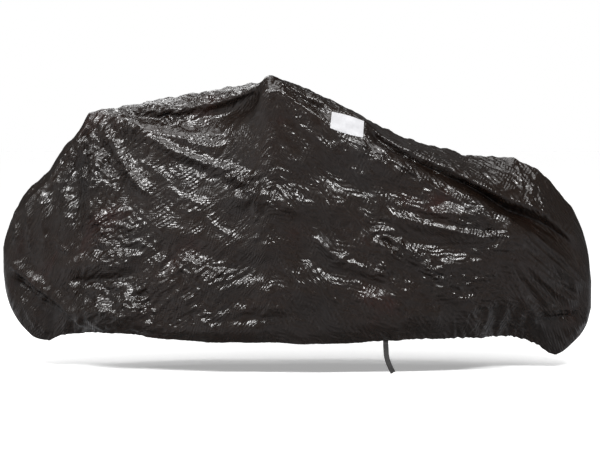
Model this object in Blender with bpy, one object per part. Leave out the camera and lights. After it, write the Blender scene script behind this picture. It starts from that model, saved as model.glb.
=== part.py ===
"""Bicycle cover: two film side panels sewn along the centre line, with a gathered hem, a label and a strap.

Metres. +X is towards the front wheel, +Z is up and the near side is -Y. The tables are in millimetres: x from
the handlebar peak and z above the ground under the wheels. The origin is under the top at the peak, where the
bicycle carries the cover.
"""

import math

import bmesh
import bpy
import numpy as np
from mathutils import Vector
from mathutils.bvhtree import BVHTree

MM = 0.001
CARRY_HEIGHT = 1128.0  # ground to the underside of the top at the handlebar peak
FILM = 2.0  # panel thickness
HEM = 3.6  # gathered elastic hem thickness
HEM_ROLL = 16.0  # height of the hem
SEAM_HALF_GAP = 0.15
SEAM_ALLOWANCE = 2.2  # depth of the seam edge inside the outline

LABEL_TOP_LEFT = (244.0, 1002.0)
LABEL_TOP_RIGHT = (371.0, 965.0)
LABEL_BOTTOM_RIGHT = (366.0, 901.0)
LABEL_BOTTOM_LEFT = (236.0, 939.0)
LABEL_THICK = 1.2

STRAP_WIDTH = 21.0
STRAP_THICK = 1.5
# Centre line of the strap: x, distance out (None where it lies on the hem's inner face), height.
STRAP_LINE = (
    (459, None, 130), (459, None, 118), (459, None, 106), (460, None, 94), (460, 229, 80),
    (461, 225, 66), (462, 222, 50), (463, 221, 34), (466, 220, 18),
    (471, 219, 2), (477, 218, -13), (484, 216, -28), (491, 213, -41),
)
GAP = 0.35  # between one piece and the next

# Lengthwise lines of the near side, top to bottom, at each section: distance out from the centre, height.
LINES = ("seam", "shoulder", "valley", "ridge", "upper", "middle", "belly", "hem")
SECTIONS = (
    # x      seam       shoulder     valley       ridge        upper       middle      belly       hem
    (-1100, (0, 445), (0, 432), (0, 420), (0, 408), (0, 396), (0, 380), (0, 364), (0, 345)),
    (-1092, (0, 478), (19, 470), (24, 448), (27, 428), (29, 400), (28, 365), (20, 320), (0, 270)),
    (-1055, (0, 584), (36, 545), (42, 500), (46, 466), (50, 412), (48, 335), (36, 250), (0, 165)),
    (-1010, (0, 662), (42, 614), (50, 570), (56, 525), (60, 445), (60, 335), (46, 215), (0, 105)),
    (-970, (0, 706), (45, 662), (54, 622), (60, 572), (68, 474), (72, 340), (58, 190), (4, 72)),
    (-915, (0, 754), (48, 713), (58, 676), (64, 622), (76, 508), (84, 352), (66, 176), (22, 64)),
    (-865, (0, 830), (50, 780), (60, 728), (68, 672), (86, 536), (96, 362), (80, 176), (36, 86)),
    (-785, (0, 926), (50, 880), (60, 836), (74, 774), (102, 616), (118, 396), (108, 190), (62, 106)),
    (-738, (0, 996), (46, 964), (58, 920), (72, 858), (106, 680), (128, 424), (128, 192), (92, 112)),
    (-700, (0, 1008), (50, 988), (60, 962), (80, 914), (116, 714), (142, 444), (152, 192), (118, 114)),
    (-600, (0, 1023), (58, 1001), (60, 992), (98, 956), (138, 730), (176, 450), (188, 178), (160, 112)),
    (-455, (0, 1052), (88, 1008), (80, 982), (136, 926), (178, 712), (212, 436), (222, 150), (190, 92)),
    (-230, (0, 1090), (132, 1036), (116, 992), (190, 884), (226, 672), (252, 402), (264, 168), (226, 86)),
    (-85, (0, 1115), (196, 1082), (178, 1050), (240, 958), (256, 704), (266, 404), (270, 170), (236, 85)),
    (-26, (0, 1120), (242, 1114), (258, 1098), (286, 1070), (280, 768), (276, 414), (274, 170), (240, 84)),
    (-4, (0, 1134), (246, 1130), (264, 1112), (294, 1078), (284, 770), (277, 414), (275, 170), (241, 84)),
    (22, (0, 1131), (246, 1126), (264, 1112), (296, 1082), (286, 772), (277, 414), (275, 170), (242, 84)),
    (120, (0, 1106), (234, 1078), (230, 1054), (284, 1028), (286, 742), (280, 410), (278, 168), (246, 82)),
    (195, (0, 1070), (230, 1044), (224, 1012), (283, 980), (286, 726), (282, 404), (280, 168), (246, 81)),
    (240, (0, 1050), (226, 1019), (250, 986), (278, 948), (286, 716), (284, 402), (280, 168), (246, 80)),
    (375, (0, 979), (222, 967), (242, 932), (270, 890), (286, 674), (286, 388), (280, 170), (240, 84)),
    (425, (0, 952), (214, 918), (206, 890), (270, 862), (286, 652), (286, 380), (279, 172), (238, 86)),
    (610, (0, 874), (206, 818), (190, 788), (258, 756), (282, 588), (280, 356), (264, 180), (224, 100)),
    (715, (0, 850), (206, 774), (178, 740), (252, 704), (274, 540), (270, 334), (248, 180), (204, 98)),
    (815, (0, 822), (202, 724), (158, 692), (246, 648), (266, 492), (254, 316), (226, 180), (180, 94)),
    (955, (0, 816), (182, 652), (128, 606), (228, 558), (236, 440), (206, 292), (146, 170), (78, 84)),
    (1080, (0, 770), (148, 606), (104, 556), (168, 478), (174, 382), (142, 262), (90, 142), (38, 54)),
    (1170, (0, 684), (112, 534), (88, 500), (122, 414), (122, 336), (102, 242), (60, 112), (14, 4)),
    (1250, (0, 574), (68, 466), (70, 416), (76, 350), (76, 292), (70, 230), (48, 132), (0, 60)),
    (1298, (0, 438), (36, 380), (40, 344), (42, 300), (42, 264), (40, 226), (30, 180), (0, 128)),
    (1315, (0, 306), (0, 292), (0, 278), (0, 266), (0, 254), (0, 240), (0, 222), (0, 196)),
)
REAR_CLOSED_TO = -968.0  # behind this x the two sides are sewn together below the wheel too
FRONT_CLOSED_FROM = 1178.0

ROWS_PER_BAND = (3, 3, 3, 5, 4, 4, 3)  # rows of cells between one line and the next
FAR_ROWS_PER_BAND = (3, 3, 3, 4, 3, 3, 2)

# Columns of cells between these x values.
COLUMNS = (
    # from   to  count
    (-1100, -1092, 1), (-1092, -1040, 3), (-1040, -960, 3), (-960, -690, 9), (-690, -45, 17),
    (-45, -26, 1), (-26, 40, 4), (40, 195, 4), (195, 240, 2), (240, 375, 4), (375, 425, 2),
    (425, 1000, 15), (1000, 1200, 6), (1200, 1290, 4), (1290, 1315, 3),
)
FAR_COLUMNS = (
    (-1100, -1092, 1), (-1092, -1040, 2), (-1040, -960, 3), (-960, -690, 8), (-690, -45, 14),
    (-45, 40, 3), (40, 1000, 22), (1000, 1200, 6), (1200, 1290, 3), (1290, 1315, 2),
)

# Folds: height of the crest (+ out) or trough (- in), its half width, then its line as x, z points.
NEAR_FOLDS = (
    # out  half  line
    (15, 40, ((-25, 1128), (5, 1122), (30, 1116))),  # grip end under the film
    (-12, 34, ((-30, 1070), (-185, 1000), (-355, 925))),
    (-12, 34, ((-700, 1000), (-585, 985), (-520, 975), (-395, 958), (-270, 945))),
    (13, 30, ((-700, 1000), (-525, 950), (-355, 895), (-160, 845))),
    (18, 34, ((-700, 990), (-550, 930), (-415, 855), (-225, 785), (0, 710))),
    (-9, 34, ((-640, 935), (-480, 850), (-330, 780), (-150, 700))),
    (15, 32, ((-702, 985), (-670, 930), (-575, 770), (-480, 655))),
    (-9, 32, ((-690, 900), (-630, 780), (-545, 640))),
    (12, 34, ((-715, 900), (-725, 780), (-730, 645), (-665, 505), (-635, 400))),
    (-10, 32, ((-790, 860), (-790, 700), (-770, 520), (-750, 400))),
    (6, 34, ((-850, 765), (-830, 565), (-840, 400))),
    (-7, 30, ((-885, 720), (-880, 520), (-870, 380))),
    (6, 34, ((-925, 690), (-930, 520), (-905, 340))),
    (-7, 28, ((-985, 600), (-985, 430), (-950, 320))),
    (-13, 30, ((-840, 322), (-740, 314), (-635, 332), (-510, 358))),
    (12, 34, ((-880, 372), (-760, 380), (-640, 398), (-500, 430))),
    (17, 30, ((-1086, 402), (-1000, 328), (-907, 265), (-820, 195), (-735, 138))),
    (-19, 50, ((-1075, 318), (-1000, 240), (-920, 182), (-840, 128))),
    (5, 22, ((-925, 80), (-985, 175), (-1025, 245))),
    (5, 20, ((-915, 85), (-935, 150), (-945, 190))),
    (11, 34, ((-600, 300), (-560, 230), (-590, 150))),
    (-8, 34, ((-520, 300), (-480, 230), (-500, 150))),
    (-12, 34, ((-440, 150), (-250, 172), (-80, 192), (120, 190))),
    (11, 30, ((-170, 212), (-40, 218), (90, 216))),
    (6, 36, ((-420, 560), (-250, 500), (-60, 450), (60, 440))),
    (-6, 36, ((-380, 470), (-200, 420), (0, 370))),
    (9, 28, ((160, 530), (205, 475), (260, 430), (345, 392), (505, 345))),
    (-10, 34, ((110, 500), (160, 430), (230, 380), (340, 340), (480, 300))),
    (6, 36, ((-330, 330), (-150, 300), (60, 290), (240, 262))),
    (9, 34, ((-60, 930), (80, 860), (240, 790), (380, 700))),
    (-9, 36, ((20, 900), (200, 800), (340, 720), (430, 650))),
    (10, 32, ((455, 665), (625, 612), (815, 580), (925, 540))),
    (-10, 30, ((445, 635), (625, 585), (815, 548), (925, 510))),
    (12, 32, ((435, 605), (625, 556), (815, 512), (920, 485))),
    (-9, 34, ((470, 520), (640, 480), (800, 440), (900, 420))),
    (12, 32, ((935, 590), (935, 515), (925, 440))),
    (13, 28, ((950, 560), (1100, 405), (1280, 262))),
    (-9, 26, ((960, 520), (1090, 385), (1250, 240))),
    (12, 28, ((950, 520), (1080, 362), (1255, 195))),
    (-9, 26, ((950, 480), (1050, 345), (1210, 165))),
    (12, 28, ((942, 480), (1040, 332), (1185, 150))),
    (-9, 26, ((935, 450), (1010, 320), (1130, 140))),
    (12, 28, ((930, 450), (1000, 312), (1085, 140))),
    (-11, 28, ((1090, 150), (1180, 165), (1270, 178))),
    (-9, 24, ((835, 110), (845, 230))),
    (-9, 24, ((895, 100), (905, 235))),
    (-10, 24, ((965, 100), (980, 245))),
    (-10, 24, ((1030, 100), (1045, 220))),
    (8, 30, ((640, 300), (760, 250), (800, 180))),
    (9, 34, ((430, 120), (560, 190), (700, 200))),
    (15, 40, ((300, 888), (430, 806), (512, 751), (600, 692), (690, 636), (790, 590))),
)
FAR_FOLDS = (
    # out  half  line
    (14, 42, ((-10, 1128), (20, 1116), (45, 1106))),
    (-13, 36, ((-40, 1060), (-230, 970), (-430, 905))),
    (15, 34, ((-700, 985), (-520, 905), (-330, 820), (-120, 730))),
    (12, 34, ((-705, 980), (-640, 830), (-540, 660), (-470, 560))),
    (-10, 36, ((-690, 920), (-560, 780), (-420, 690))),
    (11, 36, ((-740, 860), (-745, 660), (-690, 470))),
    (-9, 34, ((-810, 780), (-805, 560), (-760, 400))),
    (9, 34, ((-880, 700), (-890, 500), (-860, 340))),
    (-14, 34, ((-1030, 330), (-930, 240), (-830, 175), (-740, 150))),
    (14, 34, ((-1040, 400), (-930, 320), (-820, 250), (-720, 215))),
    (10, 24, ((-925, 80), (-980, 170), (-1000, 230))),
    (-11, 38, ((-560, 330), (-340, 300), (-120, 330))),
    (12, 38, ((-480, 230), (-200, 220), (60, 240))),
    (12, 38, ((40, 980), (190, 800), (260, 620))),
    (-11, 38, ((120, 940), (290, 780), (380, 600))),
    (11, 36, ((300, 860), (470, 660), (560, 480))),
    (-10, 36, ((-300, 620), (-120, 520), (80, 470))),
    (11, 36, ((420, 560), (640, 520), (860, 500))),
    (-10, 34, ((430, 500), (640, 465), (850, 440))),
    (13, 34, ((940, 570), (1080, 440), (1250, 320))),
    (-10, 30, ((950, 520), (1060, 400), (1220, 270))),
    (12, 32, ((930, 500), (1040, 340), (1170, 190))),
    (-10, 30, ((920, 440), (1000, 310), (1080, 170))),
    (11, 34, ((620, 330), (760, 280), (840, 190))),
    (-11, 28, ((880, 110), (890, 240))),
    (-10, 28, ((1000, 110), (1010, 230))),
    (-10, 28, ((-620, 120), (-600, 260))),
    (-9, 32, ((240, 110), (250, 230))),
)

# Slack that lies in long shallow waves over each panel: length, direction in degrees, height and start.
NEAR_SLACK = (
    (310, 62, 3.4, 0.3),
    (235, 118, 3.0, 2.1),
    (185, 84, 2.4, 4.0),
    (150, 38, 1.8, 1.2),
    (420, 12, 2.6, 5.1),
)
FAR_SLACK = (
    (340, 70, 3.8, 1.9),
    (260, 112, 3.2, 0.4),
    (200, 92, 2.6, 3.3),
    (170, 30, 2.0, 2.7),
    (450, 20, 3.0, 4.4),
)
PUCKERS = ((47, 1.6, 0.4), (83, 2.1, 2.2), (131, 1.7, 4.6))  # along the seam: length, depth and start


def slopes(at, values):
    """Slopes of the smooth curve that never overshoots its points."""
    step = np.diff(at)
    rise = np.diff(values) / step
    out = np.zeros(len(values))
    for i in range(1, len(values) - 1):
        before, after = rise[i - 1], rise[i]
        if before * after > 0:
            w1, w2 = 2 * step[i] + step[i - 1], step[i] + 2 * step[i - 1]
            out[i] = (w1 + w2) / (w1 / before + w2 / after)
    out[0], out[-1] = rise[0], rise[-1]
    return out


def smooth(at, values, where):
    """Values of that curve at `where`."""
    at, values, where = np.asarray(at, float), np.asarray(values, float), np.asarray(where, float)
    slope = slopes(at, values)
    i = np.clip(np.searchsorted(at, where) - 1, 0, len(at) - 2)
    step = at[i + 1] - at[i]
    f = (where - at[i]) / step
    return (
        (1 + 2 * f) * (1 - f) ** 2 * values[i]
        + f * (1 - f) ** 2 * step * slope[i]
        + f * f * (3 - 2 * f) * values[i + 1]
        + f * f * (f - 1) * step * slope[i + 1]
    )


def spread(pieces):
    """Column positions from rows of start, end, count."""
    out = [float(pieces[0][0])]
    for start, end, count in pieces:
        out += [start + (end - start) * (k + 1) / count for k in range(count)]
    return np.array(out)


def band_levels(rows):
    out = [0.0]
    for band, count in enumerate(rows):
        out += [band + (k + 1) / count for k in range(count)]
    return np.array(out)


def net(columns, levels):
    """Arrays of distance out and height, a row for each column position and a column for each level."""
    xs = [row[0] for row in SECTIONS]
    out = np.array([smooth(xs, [row[k + 1][0] for row in SECTIONS], columns) for k in range(len(LINES))])
    high = np.array([smooth(xs, [row[k + 1][1] for row in SECTIONS], columns) for k in range(len(LINES))])
    steps = np.arange(len(LINES), dtype=float)
    wide = np.array([smooth(steps, out[:, i], levels) for i in range(len(columns))])
    tall = np.array([smooth(steps, high[:, i], levels) for i in range(len(columns))])
    return wide, tall


def step_up(x):
    x = np.clip(x, 0.0, 1.0)
    return x * x * (3 - 2 * x)


def normals_of(points):
    """Unit normals of a grid of points, -Y on the near side."""
    along = np.gradient(points, axis=0)
    down = np.gradient(points, axis=1)
    n = np.cross(down, along)
    return n / np.maximum(np.linalg.norm(n, axis=2, keepdims=True), 1e-9)


def miter(points, normal):
    """How much further a point's inner twin stands where the faces round it bend sharply."""
    least = np.ones(points.shape[:2])
    for i, j in ((1, 1), (1, -1), (-1, 1), (-1, -1)):
        along = np.roll(points, -i, axis=0) - points
        down = np.roll(points, -j, axis=1) - points
        face = np.cross(down, along) * (i * j)
        face /= np.maximum(np.linalg.norm(face, axis=2, keepdims=True), 1e-9)
        lean = np.clip((face * normal).sum(axis=2), 0.5, 1)
        lean[[0, -1], :] = lean[:, [0, -1]] = 1
        least = np.minimum(least, lean)
    return 1 / least


def distance_to(points, line):
    """Distance from each point to a polyline, and how far along it the nearest place is."""
    best = np.full(points.shape[:2], 1e9)
    share = np.zeros(points.shape[:2])
    lengths = [np.linalg.norm(b - a) for a, b in zip(line, line[1:])]
    gone, whole = 0.0, sum(lengths)
    for a, b, length in zip(line, line[1:], lengths):
        f = np.clip(((points - a) @ (b - a)) / length**2, 0, 1)
        d = np.linalg.norm(points - (a + f[..., None] * (b - a)), axis=2)
        nearer = d < best
        best = np.where(nearer, d, best)
        share = np.where(nearer, (gone + f * length) / whole, share)
        gone += length
    return best, share


def on_surface(columns, grid, x, z):
    """The point of the undisturbed panel at x and height z."""
    k = np.array([np.interp(x, columns, grid[:, j, 1]) for j in range(grid.shape[1])])
    t = np.array([np.interp(x, columns, grid[:, j, 2]) for j in range(grid.shape[1])])
    return np.array([x, np.interp(-z, -t, k), z])


def panel_points(columns, levels, folds, slack, wider, hem_drop):
    """The outer face of the near-side form: points and normals in millimetres."""
    wide, tall = net(columns, levels)
    low = step_up((levels - 5.5) / 1.5)
    behind = step_up((columns + 900) / 120) * step_up((-500 - columns) / 160)
    tall = tall - hem_drop * behind[:, None] * low[None, :]
    wide = wide * (1 + (wider - 1) * step_up((levels - 0.4) / 2.5)[None, :])
    base = np.stack([np.broadcast_to(columns[:, None], wide.shape), -wide, tall], axis=2)
    normal = normals_of(base)
    closed = (columns < REAR_CLOSED_TO) | (columns > FRONT_CLOSED_FROM)
    free = step_up(levels / 0.9)[None, :] * np.ones(wide.shape)
    bottom = step_up((7 - levels) / 1.2)
    near_closed = step_up((REAR_CLOSED_TO + 60 - columns) / 60)
    near_closed += step_up((columns - FRONT_CLOSED_FROM + 50) / 50)
    free = free * (1 - np.clip(near_closed, 0, 1)[:, None] * (1 - bottom)[None, :])
    free = free * step_up((columns + 1100) / 50)[:, None] * step_up((1315 - columns) / 50)[:, None]
    lift = np.zeros(wide.shape)
    for out, half, line in folds:
        spots = [on_surface(columns, base, x, z) for x, z in line]
        d, share = distance_to(base, spots)
        lift += out * np.exp(-((d / half) ** 2)) * step_up(share / 0.16) * step_up((1 - share) / 0.16)
    calm = 1 - 0.75 * step_up((levels - 0.4) / 0.6) * step_up((3.6 - levels) / 0.6)
    for length, way, high, start in slack:
        across = base[..., 0] * math.cos(math.radians(way)) + base[..., 2] * math.sin(math.radians(way))
        lift += high * calm * np.sin(2 * math.pi * across / length + start + 0.6 * np.sin(across / 90))
    patch = label_cover(base)
    lift = lift * free * (1 - patch)
    outer = base + lift[..., None] * normal
    # The seam edge puckers in its own plane, alike on both panels.
    pucker = np.zeros(len(columns))
    for length, deep, start in PUCKERS:
        pucker += deep * np.sin(2 * math.pi * columns / length + start)
    ends = step_up((columns + 1100) / 60) * step_up((1315 - columns) / 60)
    outer[..., 2] += (pucker * ends)[:, None] * (1 - step_up(levels / 1.2))[None, :]
    return outer, closed


def label_cover(points):
    """1 on the panel under the label, 0 clear of it."""
    x, z = points[..., 0], points[..., 2]
    f = (x - LABEL_TOP_LEFT[0]) / (LABEL_TOP_RIGHT[0] - LABEL_TOP_LEFT[0])
    top = LABEL_TOP_LEFT[1] + f * (LABEL_TOP_RIGHT[1] - LABEL_TOP_LEFT[1])
    bottom = LABEL_BOTTOM_LEFT[1] + f * (LABEL_BOTTOM_RIGHT[1] - LABEL_BOTTOM_LEFT[1])
    wide = LABEL_TOP_RIGHT[0] - LABEL_TOP_LEFT[0]
    inside = np.minimum(np.minimum(f, 1 - f) * wide, np.minimum(top - z, z - bottom))
    return step_up(1 + inside / 45)


def slab(name, look, front, back):
    """A closed sheet between two grids of points, both split along the same diagonals."""
    mesh = bmesh.new()
    sheets = []
    for grid in (front, back):
        placed = np.asarray(grid) - (0, 0, CARRY_HEIGHT)
        sheets.append([[mesh.verts.new(Vector(p) * MM) for p in row] for row in placed])
    n, m = len(sheets[0]), len(sheets[0][0])
    for i in range(n - 1):
        for j in range(m - 1):
            corners = [(i, j), (i, j + 1), (i + 1, j + 1), (i + 1, j)]
            a, b, c, d = (Vector(front[p][q]) for p, q in corners)
            if (a - c).length > (b - d).length:
                corners = corners[1:] + corners[:1]
            for sheet, turn in zip(sheets, (1, -1)):
                a, b, c, d = (sheet[p][q] for p, q in corners)
                mesh.faces.new((a, b, c)[::turn])
                mesh.faces.new((a, c, d)[::turn])
    edge = [(i, 0) for i in range(n)] + [(n - 1, j) for j in range(1, m)]
    edge += [(i, m - 1) for i in range(n - 2, -1, -1)] + [(0, j) for j in range(m - 2, 0, -1)]
    for (i, j), (k, l) in zip(edge, edge[1:] + edge[:1]):
        mesh.faces.new((sheets[0][i][j], sheets[0][k][l], sheets[1][k][l]))
        mesh.faces.new((sheets[0][i][j], sheets[1][k][l], sheets[1][i][j]))
    return add_object(name, mesh, look)


def shell(name, colour, columns, levels, side, folds, slack, wider, hem_drop):
    """One panel as a closed solid: the outer face, the inner face and the rim between them."""
    outer, closed = panel_points(columns, levels, folds, slack, wider, hem_drop)
    normal = normals_of(outer)
    last = outer.shape[1] - 1
    seam = np.zeros(outer.shape[:2], bool)
    seam[:, 0] = True
    seam[closed, last] = True
    seam[0, :] = seam[-1, :] = True
    outer[seam, 1] = -SEAM_HALF_GAP
    flat = normal.copy()
    flat[seam, 1] = 0
    flat /= np.maximum(np.linalg.norm(flat, axis=2, keepdims=True), 1e-9)
    height = outer[..., 2] - outer[:, last:, 2]
    deep = np.where((height < HEM_ROLL) & ~closed[:, None], HEM, FILM)
    deep = np.where(seam, SEAM_ALLOWANCE, deep)
    inner = outer - flat * (deep * miter(outer, flat))[..., None]
    inner[~seam, 1] = np.minimum(inner[~seam, 1], -SEAM_HALF_GAP - 0.4)
    inner[seam, 1] = -SEAM_HALF_GAP
    placed = [sheet * (1, side, 1) for sheet in (outer, inner)]
    return slab(name, colour, *placed), outer


def material(name, colour, rough):
    made = bpy.data.materials.new(name)
    made.use_nodes = True
    shader = made.node_tree.nodes["Principled BSDF"]
    shader.inputs["Base Color"].default_value = (*colour, 1)
    shader.inputs["Roughness"].default_value = rough
    made.diffuse_color = (*colour, 1)
    return made


def add_object(name, mesh, look):
    bmesh.ops.recalc_face_normals(mesh, faces=mesh.faces[:])
    data = bpy.data.meshes.new(name)
    mesh.to_mesh(data)
    mesh.free()
    made = bpy.data.objects.new(name, data)
    made.data.materials.append(look)
    cover.objects.link(made)
    return made


def clear_scene():
    for each in list(bpy.data.objects):
        bpy.data.objects.remove(each, do_unlink=True)


def tree_of(part):
    """Rays against a finished part, asked and answered in the tables' millimetres."""
    points = [v.co.copy() for v in part.data.vertices]
    tree = BVHTree.FromPolygons(points, [tuple(f.vertices) for f in part.data.polygons])

    def out_at(x, z, start, way):
        start = Vector((x, start, z - CARRY_HEIGHT)) * MM
        hit = tree.ray_cast(start, Vector((0, way, 0)))[0]
        return hit.y / MM if hit else None

    return out_at


def build_label(outside):
    """The patch lies on the panel's outer face, clear of it by the gap."""
    across, down = 12, 7

    def spot(u, v):
        top = np.array(LABEL_TOP_LEFT) * (1 - u) + np.array(LABEL_TOP_RIGHT) * u
        bottom = np.array(LABEL_BOTTOM_LEFT) * (1 - u) + np.array(LABEL_BOTTOM_RIGHT) * u
        return top * (1 - v) + bottom * v

    back = np.zeros((across + 1, down + 1, 3))
    for i in range(across + 1):
        for j in range(down + 1):
            x, z = spot(i / across, j / down)
            back[i, j] = (x, outside(x, z, -1000, 1), z)
    # Between its points the patch is flat, so it moves out until no part of the panel comes through.
    proud = 0.0
    for i in range(across * 4 + 1):
        for j in range(down * 4 + 1):
            u, v = i / across / 4, j / down / 4
            x, z = spot(u, v)
            a, b = min(int(u * across), across - 1), min(int(v * down), down - 1)
            f, g = u * across - a, v * down - b
            own = (back[a, b, 1] * (1 - f) + back[a + 1, b, 1] * f) * (1 - g)
            own += (back[a, b + 1, 1] * (1 - f) + back[a + 1, b + 1, 1] * f) * g
            proud = max(proud, own - outside(x, z, -1000, 1))
    back[..., 1] -= proud + GAP + 0.1
    front = back + normals_of(back) * LABEL_THICK
    slab("label", material("label_cloth", (0.80, 0.80, 0.78), 0.6), front, back)
    return proud


def build_strap(inside):
    """Flat webbing from behind the hem, hanging free below it."""
    rows = np.array([(x, np.nan if out is None else -out, z) for x, out, z in STRAP_LINE], float)
    half = STRAP_WIDTH / 2
    held = np.isnan(rows[:, 1])
    for k in np.flatnonzero(held):
        x, _, z = rows[k]
        near_by = [inside(x + dx, z + dz, 0, -1) for dx in (-half, 0, half) for dz in (-6, -3, 0, 3, 6)]
        rows[k, 1] = max(y for y in near_by if y is not None) + GAP + 0.2
    along = np.gradient(rows[:, ::2], axis=0)
    along /= np.linalg.norm(along, axis=1, keepdims=True)
    side = np.stack([-along[:, 1], np.zeros(len(rows)), along[:, 0]], axis=1)
    lean = np.gradient(rows, axis=0)
    lean /= np.linalg.norm(lean, axis=1, keepdims=True)
    thick = np.cross(lean, side)
    thick *= np.sign(thick[:, 1:2])
    cross = np.linspace(-half, half, 5)
    outer = rows[:, None, :] + cross[None, :, None] * side[:, None, :]
    inner = outer + thick[:, None, :] * STRAP_THICK
    slab("tie_strap", material("webbing", (0.012, 0.012, 0.012), 0.7), outer, inner)


clear_scene()
cover = bpy.data.collections.new("bicycle_cover")
bpy.context.scene.collection.children.link(cover)

film = material("film_near", (0.030, 0.027, 0.026), 0.32)
film_far = material("film_far", (0.028, 0.026, 0.025), 0.32)

near_net = spread(COLUMNS), band_levels(ROWS_PER_BAND)
near, near_outer = shell("near_panel", film, *near_net, 1, NEAR_FOLDS, NEAR_SLACK, 1.0, 0)
far_net = spread(FAR_COLUMNS), band_levels(FAR_ROWS_PER_BAND)
far, far_outer = shell("far_panel", film_far, *far_net, -1, FAR_FOLDS, FAR_SLACK, 0.97, 22)
near_rays = tree_of(near)
build_label(near_rays)
build_strap(near_rays)
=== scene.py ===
"""Looks of the film bicycle cover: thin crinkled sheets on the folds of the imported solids.

Tables are in millimetres: x from the handlebar peak towards the front wheel, z above the ground under the
wheels, and out from the centre plane. The frame's origin is CARRY_HEIGHT above that ground. The near side,
which carries the label and the strap, is -Y.
"""

import math

import bpy
import numpy as np
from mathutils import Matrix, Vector
from mathutils.bvhtree import BVHTree


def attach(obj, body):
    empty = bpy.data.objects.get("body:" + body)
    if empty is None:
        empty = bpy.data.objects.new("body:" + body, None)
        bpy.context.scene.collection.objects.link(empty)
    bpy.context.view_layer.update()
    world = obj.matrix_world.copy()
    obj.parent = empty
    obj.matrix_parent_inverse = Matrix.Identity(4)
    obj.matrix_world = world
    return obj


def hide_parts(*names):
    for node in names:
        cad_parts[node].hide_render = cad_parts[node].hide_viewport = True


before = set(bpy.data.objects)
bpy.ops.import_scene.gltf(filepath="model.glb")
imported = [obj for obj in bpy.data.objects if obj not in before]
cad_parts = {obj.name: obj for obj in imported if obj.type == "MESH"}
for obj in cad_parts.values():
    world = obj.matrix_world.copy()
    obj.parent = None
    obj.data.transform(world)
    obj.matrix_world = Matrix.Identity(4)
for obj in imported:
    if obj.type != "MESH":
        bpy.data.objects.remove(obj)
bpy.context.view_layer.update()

MM = 0.001
CARRY_HEIGHT = 1128.0
REAR_END = -1100
FRONT_END = 1315
REAR_CLOSED_TO = -968.0  # behind this x the two sides meet below the wheel too
FRONT_CLOSED_FROM = 1178.0
REAR_CLOSING = 60  # over this length the open hem draws shut
FRONT_CLOSING = 50
LOW_HEM_FROM = -900  # the far hem hangs lower between these
LOW_HEM_TO = -500
SEAM_HALF_GAP = 0.02
SEAM_EDGE = 0.08  # share of a row's depth kept for the crisp edge at the seam
SEAM_TURNED_IN = 6.0
PUCKER_REACH = 40.0  # how far the seam's puckers run into the film before they fade
FINE_FADE = 22  # small relief fades out this near to the seam and to a closed hem
PULL_REACH = 150.0  # how far each row of PULLS counts
HEM_THICK = 3.4
SEWN_GAP = 0.6  # a sewn-on piece lies this far from the film

LABEL_CORNERS = ((244, 1002), (371, 965), (366, 901), (236, 939))  # from the top left, clockwise
LABEL_FLAT = (132, 64)
LABEL_THICK = 0.9
LABEL_GRID = (56, 32)
LABEL_BRIDGING = 30  # rounds of evening that span the film's dips
STITCH_INSET = 2  # in steps of the label's grid
STITCH_PITCH = 3.6
STITCH_LENGTH = 2.5
EDGE_ANGLE = 50  # degrees past which an edge of the label or the strap is drawn sharp
STRAP_WIDTH = 21.0
STRAP_THICK = 1.5
TACK_X = 459
TACK_WIDTH = 18
TACK_STITCHES = 12
TACK_ROWS = (97, 103)
TACK_RISE = 1.4  # each tack stitch slants from this far below its row to as far above
TACK_SLANT = 1.5

# Centre line of the strap: x, distance out (None where it lies on the hem's inner face), height.
STRAP_LINE = (
    (459, None, 130), (459, None, 118), (459, None, 106), (460, None, 94), (460, 229, 80), (461, 225, 66),
    (462, 222, 50), (463, 221, 34), (466, 220, 18), (471, 219, 2), (477, 218, -13), (484, 216, -28),
    (491, 213, -41),
)

# Columns of points along the cover: between these x, so many steps on each side.
COLUMN_BREAKS = (REAR_END, -1092, -1055, -1010, 1170, 1250, 1298, FRONT_END)
NEAR_COLUMNS = (5, 12, 10, 394, 16, 14, 11)
FAR_COLUMNS = (4, 9, 8, 330, 13, 11, 8)
NEAR_ROWS = 204
FAR_ROWS = 176

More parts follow.
